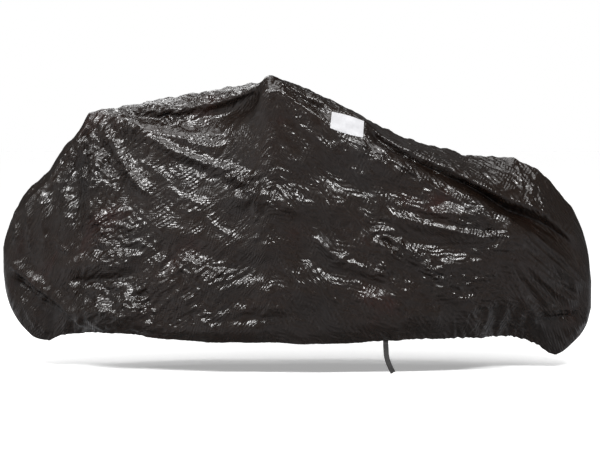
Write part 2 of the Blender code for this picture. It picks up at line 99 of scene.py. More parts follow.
# Lengthwise lines of each side, top to bottom, at each section: distance out from the centre plane, height.
LINES = ("seam", "shoulder", "valley", "ridge", "upper", "middle", "belly", "hem")
SECTIONS = (
    # x      seam       shoulder     valley       ridge        upper       middle      belly       hem
    (-1100, (0, 445), (0, 432), (0, 420), (0, 408), (0, 396), (0, 380), (0, 364), (0, 345)),
    (-1092, (0, 478), (19, 470), (24, 448), (27, 428), (29, 400), (28, 365), (20, 320), (0, 270)),
    (-1055, (0, 584), (36, 545), (42, 500), (46, 466), (50, 412), (48, 335), (36, 250), (0, 165)),
    (-1010, (0, 662), (42, 614), (50, 570), (56, 525), (60, 445), (60, 335), (46, 215), (0, 105)),
    (-970, (0, 706), (45, 662), (54, 622), (60, 572), (68, 474), (72, 340), (58, 190), (4, 72)),
    (-915, (0, 754), (48, 713), (58, 676), (64, 622), (76, 508), (84, 352), (66, 176), (22, 64)),
    (-865, (0, 830), (50, 780), (60, 728), (68, 672), (86, 536), (96, 362), (80, 176), (36, 86)),
    (-785, (0, 926), (50, 880), (60, 836), (74, 774), (102, 616), (118, 396), (108, 190), (62, 106)),
    (-738, (0, 996), (46, 964), (58, 920), (72, 858), (106, 680), (128, 424), (128, 192), (92, 112)),
    (-700, (0, 1008), (50, 988), (60, 962), (80, 914), (116, 714), (142, 444), (152, 192), (118, 114)),
    (-600, (0, 1023), (58, 1001), (60, 992), (98, 956), (138, 730), (176, 450), (188, 178), (160, 112)),
    (-455, (0, 1052), (88, 1008), (80, 982), (136, 926), (178, 712), (212, 436), (222, 150), (190, 92)),
    (-230, (0, 1090), (132, 1036), (116, 992), (190, 884), (226, 672), (252, 402), (264, 168), (226, 86)),
    (-85, (0, 1115), (196, 1082), (178, 1050), (240, 958), (256, 704), (266, 404), (270, 170), (236, 85)),
    (-26, (0, 1120), (242, 1114), (258, 1098), (286, 1070), (280, 768), (276, 414), (274, 170), (240, 84)),
    (-4, (0, 1134), (246, 1130), (264, 1112), (294, 1078), (284, 770), (277, 414), (275, 170), (241, 84)),
    (22, (0, 1131), (246, 1126), (264, 1112), (296, 1082), (286, 772), (277, 414), (275, 170), (242, 84)),
    (120, (0, 1106), (234, 1078), (230, 1054), (284, 1028), (286, 742), (280, 410), (278, 168), (246, 82)),
    (195, (0, 1070), (230, 1044), (224, 1012), (283, 980), (286, 726), (282, 404), (280, 168), (246, 81)),
    (240, (0, 1050), (226, 1019), (250, 986), (278, 948), (286, 716), (284, 402), (280, 168), (246, 80)),
    (375, (0, 979), (222, 967), (242, 932), (270, 890), (286, 674), (286, 388), (280, 170), (240, 84)),
    (425, (0, 952), (214, 918), (206, 890), (270, 862), (286, 652), (286, 380), (279, 172), (238, 86)),
    (610, (0, 874), (206, 818), (190, 788), (258, 756), (282, 588), (280, 356), (264, 180), (224, 100)),
    (715, (0, 850), (206, 774), (178, 740), (252, 704), (274, 540), (270, 334), (248, 180), (204, 98)),
    (815, (0, 822), (202, 724), (158, 692), (246, 648), (266, 492), (254, 316), (226, 180), (180, 94)),
    (955, (0, 816), (182, 652), (128, 606), (228, 558), (236, 440), (206, 292), (146, 170), (78, 84)),
    (1080, (0, 770), (148, 606), (104, 556), (168, 478), (174, 382), (142, 262), (90, 142), (38, 54)),
    (1170, (0, 684), (112, 534), (88, 500), (122, 414), (122, 336), (102, 242), (60, 112), (14, 4)),
    (1250, (0, 574), (68, 466), (70, 416), (76, 350), (76, 292), (70, 230), (48, 132), (0, 60)),
    (1298, (0, 438), (36, 380), (40, 344), (42, 300), (42, 264), (40, 226), (30, 180), (0, 128)),
    (1315, (0, 306), (0, 292), (0, 278), (0, 266), (0, 254), (0, 240), (0, 222), (0, 196)),
)

# Folds: height of the crest (+ out) or trough (- in), its half width, then its line as x, z points.
NEAR_FOLDS = (
    # out  half  line
    (15, 40, ((-25, 1128), (5, 1122), (30, 1116))),  # grip end under the film
    (-12, 34, ((-30, 1070), (-185, 1000), (-355, 925))),
    (-12, 34, ((-700, 1000), (-585, 985), (-520, 975), (-395, 958), (-270, 945))),
    (13, 30, ((-700, 1000), (-525, 950), (-355, 895), (-160, 845))),
    (14, 26, ((-700, 990), (-550, 930), (-415, 855), (-225, 785), (0, 710))),
    (7, 48, ((-600, 890), (-480, 850), (-330, 780), (-150, 700))),
    (10, 22, ((-702, 985), (-670, 930), (-575, 770), (-480, 655))),
    (-9, 32, ((-690, 900), (-630, 780), (-545, 640))),
    (12, 34, ((-715, 900), (-725, 780), (-730, 645), (-665, 505), (-635, 400))),
    (-10, 32, ((-790, 860), (-790, 700), (-770, 520), (-750, 400))),
    (5, 34, ((-850, 765), (-830, 565), (-840, 400))),
    (-4, 30, ((-885, 720), (-880, 520), (-870, 380))),
    (5, 34, ((-925, 690), (-930, 520), (-905, 340))),
    (-4, 28, ((-985, 600), (-985, 430), (-950, 320))),
    (-8, 20, ((-840, 322), (-740, 314), (-635, 332), (-510, 358))),
    (12, 34, ((-880, 372), (-760, 380), (-640, 398), (-500, 430))),
    (12, 30, ((-1086, 402), (-1000, 328), (-907, 265), (-820, 195), (-735, 138))),
    (-19, 50, ((-1075, 318), (-1000, 240), (-920, 182), (-840, 128))),
    (5, 22, ((-925, 80), (-985, 175), (-1025, 245))),
    (5, 20, ((-915, 85), (-935, 150), (-945, 190))),
    (11, 34, ((-600, 300), (-560, 230), (-590, 150))),
    (-8, 34, ((-520, 300), (-480, 230), (-500, 150))),
    (-12, 34, ((-440, 150), (-250, 172), (-80, 192), (120, 190))),
    (11, 30, ((-170, 212), (-40, 218), (90, 216))),
    (6, 36, ((-420, 560), (-250, 500), (-60, 450), (60, 440))),
    (-6, 36, ((-380, 470), (-200, 420), (0, 370))),
    (9, 28, ((160, 530), (205, 475), (260, 430), (345, 392), (505, 345))),
    (-10, 34, ((110, 500), (160, 430), (230, 380), (340, 340), (480, 300))),
    (6, 36, ((-330, 330), (-150, 300), (60, 290), (240, 262))),
    (5, 34, ((-60, 930), (80, 860), (240, 790), (380, 700))),
    (-9, 36, ((20, 900), (200, 800), (340, 720), (430, 650))),
    (10, 32, ((455, 665), (625, 612), (815, 580), (925, 540))),
    (-10, 30, ((445, 635), (625, 585), (815, 548), (925, 510))),
    (12, 32, ((435, 605), (625, 556), (815, 512), (920, 485))),
    (-9, 34, ((470, 520), (640, 480), (800, 440), (900, 420))),
    (12, 32, ((935, 590), (935, 515), (925, 440))),
    (13, 28, ((950, 560), (1100, 405), (1280, 262))),
    (-9, 26, ((960, 520), (1090, 385), (1250, 240))),
    (12, 28, ((950, 520), (1080, 362), (1255, 195))),
    (-9, 26, ((950, 480), (1050, 345), (1210, 165))),
    (12, 28, ((942, 480), (1040, 332), (1185, 150))),
    (-9, 26, ((935, 450), (1010, 320), (1130, 140))),
    (12, 28, ((930, 450), (1000, 312), (1085, 140))),
    (-11, 28, ((1090, 150), (1180, 165), (1270, 178))),
    (-9, 24, ((835, 110), (845, 230))),
    (-9, 24, ((895, 100), (905, 235))),
    (-10, 24, ((965, 100), (980, 245))),
    (-10, 24, ((1030, 100), (1045, 220))),
    (8, 30, ((640, 300), (760, 250), (800, 180))),
    (9, 34, ((430, 120), (560, 190), (700, 200))),
    (15, 40, ((300, 888), (430, 806), (512, 751), (600, 692), (690, 636))),
)
FAR_FOLDS = (
    # out  half  line
    (14, 42, ((-10, 1128), (20, 1116), (45, 1106))),
    (-13, 36, ((-40, 1060), (-230, 970), (-430, 905))),
    (15, 34, ((-700, 985), (-520, 905), (-330, 820), (-120, 730))),
    (12, 34, ((-705, 980), (-640, 830), (-540, 660), (-470, 560))),
    (-10, 36, ((-690, 920), (-560, 780), (-420, 690))),
    (11, 36, ((-740, 860), (-745, 660), (-690, 470))),
    (-9, 34, ((-810, 780), (-805, 560), (-760, 400))),
    (9, 34, ((-880, 700), (-890, 500), (-860, 340))),
    (-14, 34, ((-1030, 330), (-930, 240), (-830, 175), (-740, 150))),
    (14, 34, ((-1040, 400), (-930, 320), (-820, 250), (-720, 215))),
    (10, 24, ((-925, 80), (-980, 170), (-1000, 230))),
    (-11, 38, ((-560, 330), (-340, 300), (-120, 330))),
    (12, 38, ((-480, 230), (-200, 220), (60, 240))),
    (12, 38, ((40, 980), (190, 800), (260, 620))),
    (-11, 38, ((120, 940), (290, 780), (380, 600))),
    (11, 36, ((300, 860), (470, 660), (560, 480))),
    (-10, 36, ((-300, 620), (-120, 520), (80, 470))),
    (11, 36, ((420, 560), (640, 520), (860, 500))),
    (-10, 34, ((430, 500), (640, 465), (850, 440))),
    (13, 34, ((940, 570), (1080, 440), (1250, 320))),
    (-10, 30, ((950, 520), (1060, 400), (1220, 270))),
    (12, 32, ((930, 500), (1040, 340), (1170, 190))),
    (-10, 30, ((920, 440), (1000, 310), (1080, 170))),
    (11, 34, ((620, 330), (760, 280), (840, 190))),
    (-11, 28, ((880, 110), (890, 240))),
    (-10, 28, ((1000, 110), (1010, 230))),
    (-10, 28, ((-620, 120), (-600, 260))),
    (-9, 32, ((240, 110), (250, 230))),
)

# Slack that lies in long shallow waves over each panel: length, direction in degrees, height and start.
NEAR_SLACK = (
    (310, 62, 3.4, 0.3),
    (235, 118, 3.0, 2.1),
    (185, 84, 2.4, 4.0),
    (150, 38, 1.8, 1.2),
    (420, 12, 2.6, 5.1),
)
FAR_SLACK = (
    (340, 70, 3.8, 1.9),
    (260, 112, 3.2, 0.4),
    (200, 92, 2.6, 3.3),
    (170, 30, 2.0, 2.7),
    (450, 20, 3.0, 4.4),
)
PUCKERS = ((47, 1.6, 0.4), (83, 2.1, 2.2), (131, 1.7, 4.6))  # along the seam: length, depth and start

# Sharp creases of the film itself: height out (+) or in (-), half width, then the line as x, z points.
NEAR_CREASES = (
    # out half  line
    (5, 12, ((-680, 965), (-640, 900), (-610, 830))),
    (6, 11, ((-600, 810), (-545, 730), (-465, 640))),
    (6, 12, (
        (-550, 935), (-470, 895), (-400, 850), (-285, 805), (-170, 765), (-105, 720), (-10, 705), (60, 670)
    )),
    (-5, 14, ((-560, 905), (-470, 865), (-390, 815), (-280, 770), (-170, 730))),
    (4, 10, ((-695, 985), (-600, 965), (-475, 915), (-350, 890), (-230, 850))),
    (4, 12, ((-530, 820), (-450, 760), (-370, 700))),
    (3, 12, ((-545, 1010), (-480, 1025), (-400, 1010), (-320, 990))),
    (3, 11, ((-420, 1040), (-290, 1055), (-185, 1075))),
    (5, 12, ((-870, 690), (-820, 645), (-770, 600))),
    (5, 14, ((-835, 790), (-795, 825), (-750, 860))),
    (5, 12, ((-800, 800), (-735, 880), (-690, 930))),
    (-4, 12, ((-780, 760), (-720, 830), (-660, 880))),
    (4, 11, ((-830, 700), (-760, 735), (-700, 720), (-650, 760))),
    (6, 12, ((-645, 580), (-595, 600), (-550, 615))),
    (6, 12, ((-810, 510), (-765, 540), (-730, 560))),
    (6, 12, ((-685, 535), (-605, 550), (-525, 525))),
    (4, 9, ((-670, 505), (-585, 515))),
    (4, 10, ((-540, 490), (-495, 465), (-455, 445))),
    (6, 9, ((-895, 500), (-855, 460), (-810, 425))),
    (-5, 12, ((-855, 310), (-710, 325), (-560, 340))),
    (9, 14, ((-1030, 640), (-1040, 520), (-1025, 390))),
    (9, 14, ((-980, 700), (-990, 560), (-970, 380))),
    (9, 14, ((-925, 725), (-930, 580), (-910, 420))),
    (3, 8, ((-1050, 290), (-1000, 180), (-935, 70))),
    (3, 8, ((-1005, 240), (-955, 150), (-915, 75))),
    (3, 8, ((-365, 640), (-335, 665), (-280, 640), (-240, 615))),
    (3, 8, ((-375, 620), (-305, 600))),
    (3, 8, ((-165, 625), (-110, 635))),
    (4, 9, ((-105, 565), (-55, 580), (-20, 590))),
    (4, 9, ((-260, 595), (-220, 555), (-165, 515), (-125, 495))),
    (4, 8, ((-100, 490), (-30, 510))),
    (3, 7, ((-50, 475), (20, 485))),
    (3, 7, ((-145, 635), (-105, 670))),
    (3, 7, ((-95, 640), (-55, 680))),
    (3, 7, ((-50, 655), (-10, 695))),
    (3, 7, ((0, 665), (40, 705))),
    (3, 7, ((55, 670), (110, 725))),
    (4, 10, ((-395, 440), (-365, 420), (-305, 405), (-235, 385))),
    (5, 15, ((-220, 385), (-165, 360), (-115, 335))),
    (3, 9, ((-410, 380), (-325, 365), (-245, 345))),
    (4, 7, ((-330, 310), (-295, 300), (-260, 285))),
    (3, 7, ((-145, 330), (-5, 335))),
    (3, 7, ((-70, 285), (-30, 300), (5, 280), (70, 315))),
    (3, 8, ((-325, 215), (-265, 230))),
    (5, 12, ((-285, 170), (-215, 190), (-145, 200))),
    (4, 10, ((-410, 160), (-295, 180))),
    (3, 7, ((-75, 195), (25, 205))),
    (3, 7, ((-135, 270), (-80, 250), (-20, 235))),
    (3, 7, ((105, 335), (145, 310))),
    (3, 7, ((205, 290), (275, 245))),
    (4, 8, ((165, 535), (195, 485), (235, 445), (315, 415))),
    (4, 7, ((275, 420), (395, 385), (505, 335))),
    (3, 7, ((275, 400), (400, 355), (500, 312))),
    (3, 7, ((155, 435), (230, 400))),
    (3, 8, ((270, 245), (350, 262), (430, 270))),
    (3, 8, ((495, 225), (530, 240))),
    (6, 11, ((250, 940), (315, 900), (510, 790), (590, 738), (670, 690), (820, 615))),
    (5, 10, ((450, 650), (560, 622), (660, 600), (790, 545), (925, 495))),
    (4, 8, ((395, 630), (510, 590), (630, 555), (780, 522), (925, 487))),
    (4, 9, ((385, 575), (425, 545), (475, 515))),
    (4, 8, ((505, 565), (540, 535), (575, 495))),
    (5, 10, ((395, 500), (450, 475), (515, 445))),
    (5, 10, ((535, 455), (595, 405))),
    (5, 10, ((595, 415), (645, 360))),
    (4, 8, ((650, 380), (715, 405))),
    (5, 10, ((670, 360), (765, 290))),
    (4, 8, ((765, 315), (820, 330), (875, 345))),
    (3, 8, ((785, 260), (825, 275))),
    (4, 8, ((895, 270), (960, 245))),
    (3, 7, ((615, 485), (695, 490))),
    (4, 8, ((765, 460), (845, 440))),
    (4, 8, ((845, 445), (915, 470))),
    (4, 9, ((1030, 770), (1070, 685), (1105, 620), (1155, 585))),
    (3, 8, ((895, 705), (945, 725))),
    (5, 10, ((935, 570), (1075, 490), (1170, 420), (1300, 280))),
    (4, 10, ((945, 470), (1110, 340), (1225, 275))),
    (4, 10, ((915, 605), (1045, 545), (1170, 460))),
    (4, 9, ((1055, 170), (1175, 180), (1285, 175))),
    (3, 9, ((1180, 110), (1285, 140))),
    (4, 10, ((775, 95), (810, 140), (845, 185))),
    (3, 10, ((120, 1060), (235, 1000), (315, 980))),
    (4, 10, ((455, 900), (555, 830), (675, 770), (780, 720))),
    (3, 9, ((525, 915), (690, 845), (805, 775))),
    (3, 9, ((830, 795), (935, 790), (1015, 785))),
    (-4, 9, ((-30, 1070), (-120, 1000), (-235, 920))),
    (3, 7, ((354, 890), (430, 842), (512, 791), (600, 732), (671, 684), (745, 645), (819, 604))),
    (-13, 17, ((-1090, 350), (-1000, 276), (-907, 212), (-830, 150))),
    (-13, 10, ((-1088, 378), (-1000, 304), (-907, 238), (-820, 168), (-730, 112))),
    (5, 9, ((-1086, 396), (-1000, 322), (-907, 256), (-820, 186), (-730, 130))),
    (6, 9, ((932, 600), (1060, 500), (1190, 388), (1308, 272))),
    (7, 11, ((940, 560), (1070, 455), (1190, 350), (1300, 262))),
    (6, 9, ((935, 530), (1050, 415), (1170, 318), (1290, 245))),
    (7, 11, ((930, 500), (1040, 372), (1150, 275), (1270, 218))),
    (6, 10, ((928, 470), (1010, 350), (1110, 240), (1230, 186))),
    (5, 9, ((1050, 185), (1130, 200), (1210, 196), (1290, 188))),
    (-6, 9, ((1060, 150), (1150, 166), (1270, 168))),
    (24, 56, ((-880, 190), (-640, 205), (-430, 200))),
    (20, 50, ((-230, 690), (-90, 655), (60, 625), (160, 600))),
    (3, 8, ((60, 1050), (120, 950), (235, 855))),
)
FAR_CREASES = (
    # out half  line
    (5, 12, ((-690, 970), (-600, 880), (-530, 790), (-480, 700))),
    (5, 12, ((-690, 985), (-520, 915), (-330, 830), (-140, 740), (20, 690))),
    (-5, 13, ((-640, 930), (-480, 850), (-330, 780), (-160, 690))),
    (4, 10, ((-560, 1010), (-430, 1020), (-300, 1000))),
    (5, 12, ((-870, 700), (-800, 620), (-740, 520))),
    (5, 12, ((-820, 800), (-760, 860), (-700, 900))),
    (4, 10, ((-760, 640), (-680, 600), (-590, 610))),
    (5, 11, ((-720, 520), (-640, 540), (-540, 500))),
    (4, 10, ((-900, 480), (-830, 440), (-760, 420))),
    (3, 13, ((-1035, 620), (-1045, 500), (-1020, 380))),
    (3, 13, ((-970, 700), (-980, 540), (-960, 390))),
    (4, 9, ((-1020, 280), (-975, 170), (-930, 75))),
    (4, 10, ((-650, 330), (-520, 300), (-400, 320))),
    (4, 9, ((-420, 620), (-330, 650), (-240, 600))),
    (4, 9, ((-340, 520), (-240, 480), (-130, 470))),
    (4, 8, ((-160, 610), (-60, 640), (20, 600))),
    (3, 8, ((-90, 380), (30, 350), (120, 380))),
    (4, 9, ((-300, 210), (-180, 190), (-60, 200))),
    (4, 9, ((40, 1060), (130, 930), (230, 820))),
    (4, 9, ((140, 740), (240, 640), (300, 540))),
    (4, 8, ((200, 480), (320, 430), (450, 400))),
    (3, 8, ((260, 300), (380, 250), (470, 260))),
    (5, 11, ((280, 930), (450, 810), (620, 720), (800, 620))),
    (5, 10, ((460, 620), (640, 580), (800, 520), (920, 480))),
    (4, 9, ((420, 540), (560, 500), (700, 440))),
    (4, 9, ((560, 380), (680, 330), (800, 300))),
    (4, 9, ((1030, 760), (1075, 670), (1140, 580))),
    (5, 10, ((940, 560), (1070, 460), (1180, 370), (1290, 290))),
    (4, 9, ((930, 460), (1050, 330), (1150, 220))),
    (4, 9, ((820, 100), (850, 170), (870, 230))),
    (3, 9, ((560, 860), (720, 800), (860, 740))),
    (4, 10, ((-60, 1050), (-170, 960), (-300, 890))),
)

# Crumpled places: centre, half sizes along and across, tilt, the way of their small creases, how much they
# crumple. An amount below 0 calms the place instead.
NEAR_CRUMPLES = (
    # x      z     along across tilt  way  much
    (-740, 870, 130, 110, 55, 50, 2.2),
    (-700, 740, 130, 75, 0, 100, 1.8),
    (-800, 650, 80, 70, -45, -50, 1.0),
    (-650, 560, 150, 50, 5, 8, 1.5),
    (-640, 460, 130, 70, 10, 40, 1.5),
    (-690, 288, 190, 45, 0, 70, 1.8),
    (-590, 215, 170, 50, 5, 60, 1.4),
    (-920, 345, 60, 40, 35, 60, 0.4),
    (-470, 990, 150, 30, 0, 20, 1.8),
    (-330, 925, 190, 34, -14, 20, 1.1),
    (-230, 1060, 200, 25, 8, 20, 1.8),
    (-560, 905, 150, 40, -28, -28, 0.9),
    (-330, 820, 230, 30, -26, 40, 0.9),
    (-90, 720, 120, 50, -24, 50, 2.1),
    (30, 690, 110, 50, -10, 55, 1.4),
    (-450, 760, 140, 35, -38, -38, 0.9),
    (-560, 760, 90, 25, -50, -50, 0.8),
    (-330, 630, 90, 30, 0, -20, 0.6),
    (-60, 575, 60, 18, 15, 10, 0.6),
    (-190, 545, 110, 25, -38, 10, 0.6),
    (-420, 430, 110, 35, -20, -40, 0.7),
    (-170, 360, 110, 45, -18, 30, 1.5),
    (-330, 375, 130, 35, -10, -60, 1.1),
    (-400, 240, 160, 70, 0, -30, 0.8),
    (-220, 190, 160, 25, 8, 40, 1.2),
    (180, 600, 160, 60, 0, 85, 0.2),
    (260, 440, 90, 25, -35, -40, 0.8),
    (430, 375, 120, 30, -18, -20, 0.9),
    (340, 265, 100, 20, 5, 60, 0.6),
    (340, 540, 60, 40, 0, 80, 0.7),
    (440, 545, 80, 45, -35, -30, 1.0),
    (480, 475, 110, 30, -28, 45, 1.8),
    (620, 395, 90, 40, -40, 40, 1.5),
    (730, 335, 110, 35, -30, 40, 1.0),
    (820, 330, 80, 25, 15, 20, 0.9),
    (870, 250, 110, 40, -15, 40, 0.8),
    (500, 640, 130, 25, -12, 40, 0.9),
    (830, 540, 130, 28, -22, -20, 2.2),
    (880, 450, 60, 30, 0, 30, 0.8),
    (420, 838, 190, 26, -33, 40, 1.8),
    (560, 750, 60, 16, -32, 35, 1.2),
    (1060, 680, 110, 50, -60, 75, 1.1),
    (900, 740, 160, 50, -10, 40, 0.4),
    (620, 820, 200, 30, -20, 40, 0.6),
    (230, 1030, 190, 30, -25, 30, 1.4),
    (1250, 165, 70, 35, 5, 60, 1.0),
    (1080, 170, 60, 35, 0, -50, 0.7),
    (470, 110, 90, 16, 0, 60, 1.0),
    (830, 150, 90, 60, 0, 80, 0.8),
    (-230, 550, 260, 70, -10, 0, -0.7),
    (-330, 560, 110, 40, -15, 0, -0.4),
    (150, 520, 160, 70, 0, 0, -0.45),
    (-960, 520, 90, 180, 0, 0, -0.2),
    (-350, 730, 130, 60, -25, 0, -2.0),
    (110, 900, 120, 80, -30, 0, -1.2),
)
FAR_CRUMPLES = (
    # x      z     along across tilt  way  much
    (-740, 830, 130, 100, 50, 50, 1.4),
    (-690, 640, 130, 90, 0, 90, 1.1),
    (-620, 470, 160, 60, 5, 10, 1.0),
    (-640, 240, 220, 70, 8, 65, 1.4),
    (-360, 820, 240, 45, -25, 40, 1.2),
    (-60, 700, 150, 60, -15, 50, 1.2),
    (-300, 560, 180, 60, -15, 10, 0.9),
    (-220, 360, 200, 60, -15, 30, 1.2),
    (-180, 190, 220, 30, 5, 30, 0.9),
    (200, 640, 180, 80, -40, 80, 0.8),
    (300, 430, 190, 60, -20, 30, 1.0),
    (480, 300, 150, 50, -10, 50, 0.9),
    (520, 760, 210, 40, -30, 40, 1.2),
    (760, 560, 200, 45, -18, 20, 1.2),
    (700, 390, 160, 50, -25, 40, 1.1),
    (1050, 680, 130, 60, -55, 70, 1.0),
    (860, 760, 170, 45, -12, 40, 0.8),
    (880, 220, 140, 60, -10, 60, 0.9),
    (-200, 1050, 260, 30, 8, 20, 0.8),
    (1180, 190, 110, 50, 5, 60, 0.9),
)

# The way in which the film is pulled, in degrees from level, at some places.
PULLS = (
    # x  z  way
    (-650, 930, -50), (-700, 750, -75), (-500, 880, -30), (-300, 900, -18), (-150, 1000, -26),
    (-900, 560, -88), (-1000, 480, -88), (-960, 330, -50), (-930, 160, -65), (-700, 330, -5),
    (-600, 180, -10), (-550, 650, -46), (-350, 600, -24), (-100, 620, -16), (-100, 350, -12),
    (120, 900, -38), (150, 650, -10), (250, 420, -36), (450, 560, -26), (450, 780, -31), (650, 560, -14),
    (850, 560, -14), (650, 330, -24), (400, 200, -4), (0, 150, 0), (900, 300, -12), (1050, 430, -42),
    (1180, 300, -42), (950, 150, -84), (820, 170, -76), (1150, 150, 8), (1100, 620, -62), (900, 740, -20),
    (600, 850, -24), (200, 1040, -26), (-400, 1020, 6),
)

# How strongly the hem's elastic gathers the film, by x.
GATHERS = (
    (-1100, 0.0), (-968, 2.4), (-800, 2.4), (-560, 1.3), (-380, 0.5), (300, 0.6),
    (450, 1.5), (620, 2.2), (800, 2.6), (1100, 2.8), (1178, 2.0), (1315, 0.0),
)

FOLD_SHAPE = (2.0, 0.16)  # power of the crest, share of the length over which its ends fade
CREASE_SHAPE = (1.3, 0.3)

# Small relief of each panel. Each pattern has a draw of its own, which is added to the panel's seed.
LUMPS = (
    # high length draw
    (1.5, 150, 0),
    (0.9, 70, 1),
)
# Facets: how high everywhere, what crumpling adds, their length, how evenly their ways are shared out.
FACETS = (
    # high more length even draw
    (0.7, 2.6, 86, 0.30, 100),
    (0.8, 1.9, 46, 0.20, 150),
    (0.5, 1.4, 29, 0.30, 180),
)
CREST_LENGTH = 120
CREST_WIDTH = 30

# Gathers of the hem: their length, how far they wander over what length along and up, how far up they reach.
HEM_WAVES = (
    # length wander along up reach high draw
    (27, 14, 75, 400, 26, 1.0, 500),
    (58, 12, 110, 260, 85, 1.1, 510),
)
# The rolled hem: inwards in hem thicknesses, up, and the length of cloth past the fold.
HEM_PROFILE = (
    # inwards up cloth
    (0.35, -0.6, 1),
    (1.0, 0.3, 4),
    (1.05, 8.0, 12),
    (0.95, 16.0, 20),
)


def slopes(at, values):
    """Slopes of the smooth curve that never overshoots its points."""
    step = np.diff(at)
    rise = np.diff(values) / step
    out = np.zeros(len(values))
    for i in range(1, len(values) - 1):
        before, after = rise[i - 1], rise[i]
        if before * after > 0:
            first, second = 2 * step[i] + step[i - 1], step[i] + 2 * step[i - 1]
            out[i] = (first + second) / (first / before + second / after)
    out[0], out[-1] = rise[0], rise[-1]
    return out


def smooth(at, values, where):
    """Values of that curve at `where`."""
    at, values, where = (np.asarray(part, float) for part in (at, values, where))
    slope = slopes(at, values)
    i = np.clip(np.searchsorted(at, where) - 1, 0, len(at) - 2)
    step = at[i + 1] - at[i]
    share = (where - at[i]) / step
    return (
        (1 + 2 * share) * (1 - share) ** 2 * values[i]
        + share * (1 - share) ** 2 * step * slope[i]
        + share * share * (3 - 2 * share) * values[i + 1]
        + share * share * (share - 1) * step * slope[i + 1]
    )


def spread(counts):
    """The x of each column of points."""
    out = [float(REAR_END)]
    for start, end, count in zip(COLUMN_BREAKS, COLUMN_BREAKS[1:], counts):
        out += [start + (end - start) * (k + 1) / count for k in range(count)]
    return np.array(out)


def step_up(value):
    """0 up to 0, 1 from 1 on, and a smooth rise between."""
    value = np.clip(value, 0.0, 1.0)
    return value * value * (3 - 2 * value)


def unit(vectors):
    """Vectors brought to length 1."""
    return vectors / np.maximum(np.linalg.norm(vectors, axis=-1, keepdims=True), 1e-9)


def turned(a, b, turn):
    """Coordinates in axes that are turned by an angle in radians."""
    return a * math.cos(turn) + b * math.sin(turn), b * math.cos(turn) - a * math.sin(turn)


def double_way(degrees):
    """A way that has no front or back, as a vector at twice its angle, so that ways can be averaged."""
    turn = math.radians(2 * degrees)
    return np.array([math.cos(turn), math.sin(turn)])


def lengths_along(points):
    """Length from the first point to each point of a line."""
    return np.concatenate([[0], np.cumsum(np.linalg.norm(np.diff(points, axis=0), axis=1))])


def normals_of(points):
    """Unit normals of a grid of points, -Y on the near side."""
    return unit(np.cross(np.gradient(points, axis=1), np.gradient(points, axis=0)))


def base_grid(columns, count, wider, hem_drop):
    """The undisturbed half: points evenly spaced down each column, their level and length from the seam."""
    levels = np.linspace(0, len(LINES) - 1, 421)
    xs = [row[0] for row in SECTIONS]
    steps = np.arange(len(LINES), dtype=float)
    lines_out, lines_high = (
        np.array([smooth(xs, [row[k + 1][part] for row in SECTIONS], columns) for k in range(len(LINES))])
        for part in (0, 1)
    )
    low = step_up((columns - LOW_HEM_FROM) / 120) * step_up((LOW_HEM_TO - columns) / 160)
    points = np.zeros((len(columns), count, 3))
    level = np.zeros((len(columns), count))
    run = np.zeros((len(columns), count))
    for i, x in enumerate(columns):
        wide = smooth(steps, lines_out[:, i], levels) * (1 + (wider - 1) * step_up((levels - 0.4) / 2.5))
        tall = smooth(steps, lines_high[:, i], levels) - hem_drop * low[i] * step_up((levels - 5.5) / 1.5)
        along = np.concatenate([[0], np.cumsum(np.hypot(np.diff(wide), np.diff(tall)))])
        run[i] = np.linspace(0, 1, count) * along[-1]
        points[i, :, 0] = x
        points[i, :, 1] = -np.interp(run[i], along, wide)
        points[i, :, 2] = np.interp(run[i], along, tall)
        level[i] = np.interp(run[i], along, levels)
    return points, level, run


def on_surface(points, x, z):
    """The point of the undisturbed panel at x and height z."""
    columns = points[:, 0, 0]
    i = int(np.clip(np.searchsorted(columns, x), 1, len(columns) - 1))
    share = np.clip((x - columns[i - 1]) / (columns[i] - columns[i - 1]), 0, 1)
    row = points[i - 1] * (1 - share) + points[i] * share
    return np.array([x, np.interp(-z, -row[:, 2], row[:, 1]), z])


def raised(points, rows, sharp, taper):
    """Height of a table of folds at each point: crests of power `sharp` that fade out at their ends."""
    flat = points.reshape(-1, 3)
    lift = np.zeros(len(flat))
    for out, half, line in rows:
        spots = np.array([on_surface(points, x, z) for x, z in line])
        low, high = spots.min(axis=0) - 3.2 * half, spots.max(axis=0) + 3.2 * half
        near = np.flatnonzero(((flat > low) & (flat < high))[:, [0, 2]].all(axis=1))
        here = flat[near]
        best = np.full(len(here), 1e9)
        share = np.zeros(len(here))
        lengths = np.linalg.norm(np.diff(spots, axis=0), axis=1)
        gone = 0.0
        for start, end, length in zip(spots, spots[1:], lengths):
            along = np.clip((here - start) @ (end - start) / length**2, 0, 1)
            apart = np.linalg.norm(here - (start + along[:, None] * (end - start)), axis=1)
            share = np.where(apart < best, (gone + along * length) / lengths.sum(), share)
            best = np.minimum(apart, best)
            gone += length
        ends = step_up(share / taper) * step_up((1 - share) / taper)
        lift[near] += out * np.exp(-((best / half) ** sharp)) * ends
    return lift.reshape(points.shape[:2])


def noise(u, v, seed):
    """Smooth gradient noise with one lump to a unit, about -0.7 to 0.7."""
    ways = np.random.default_rng(seed).uniform(0, 2 * math.pi, (256, 256))
    left, low = np.floor(u).astype(int), np.floor(v).astype(int)
    across, up = u - left, v - low
    ease_across, ease_up = (part**3 * (part * (part * 6 - 15) + 10) for part in (across, up))

    def corner(right, above):
        way = ways[(left + right) & 255, (low + above) & 255]
        return np.cos(way) * (across - right) + np.sin(way) * (up - above)

    bottom, top = (
        corner(0, above) * (1 - ease_across) + corner(1, above) * ease_across for above in (0, 1)
    )
    return bottom * (1 - ease_up) + top * ease_up


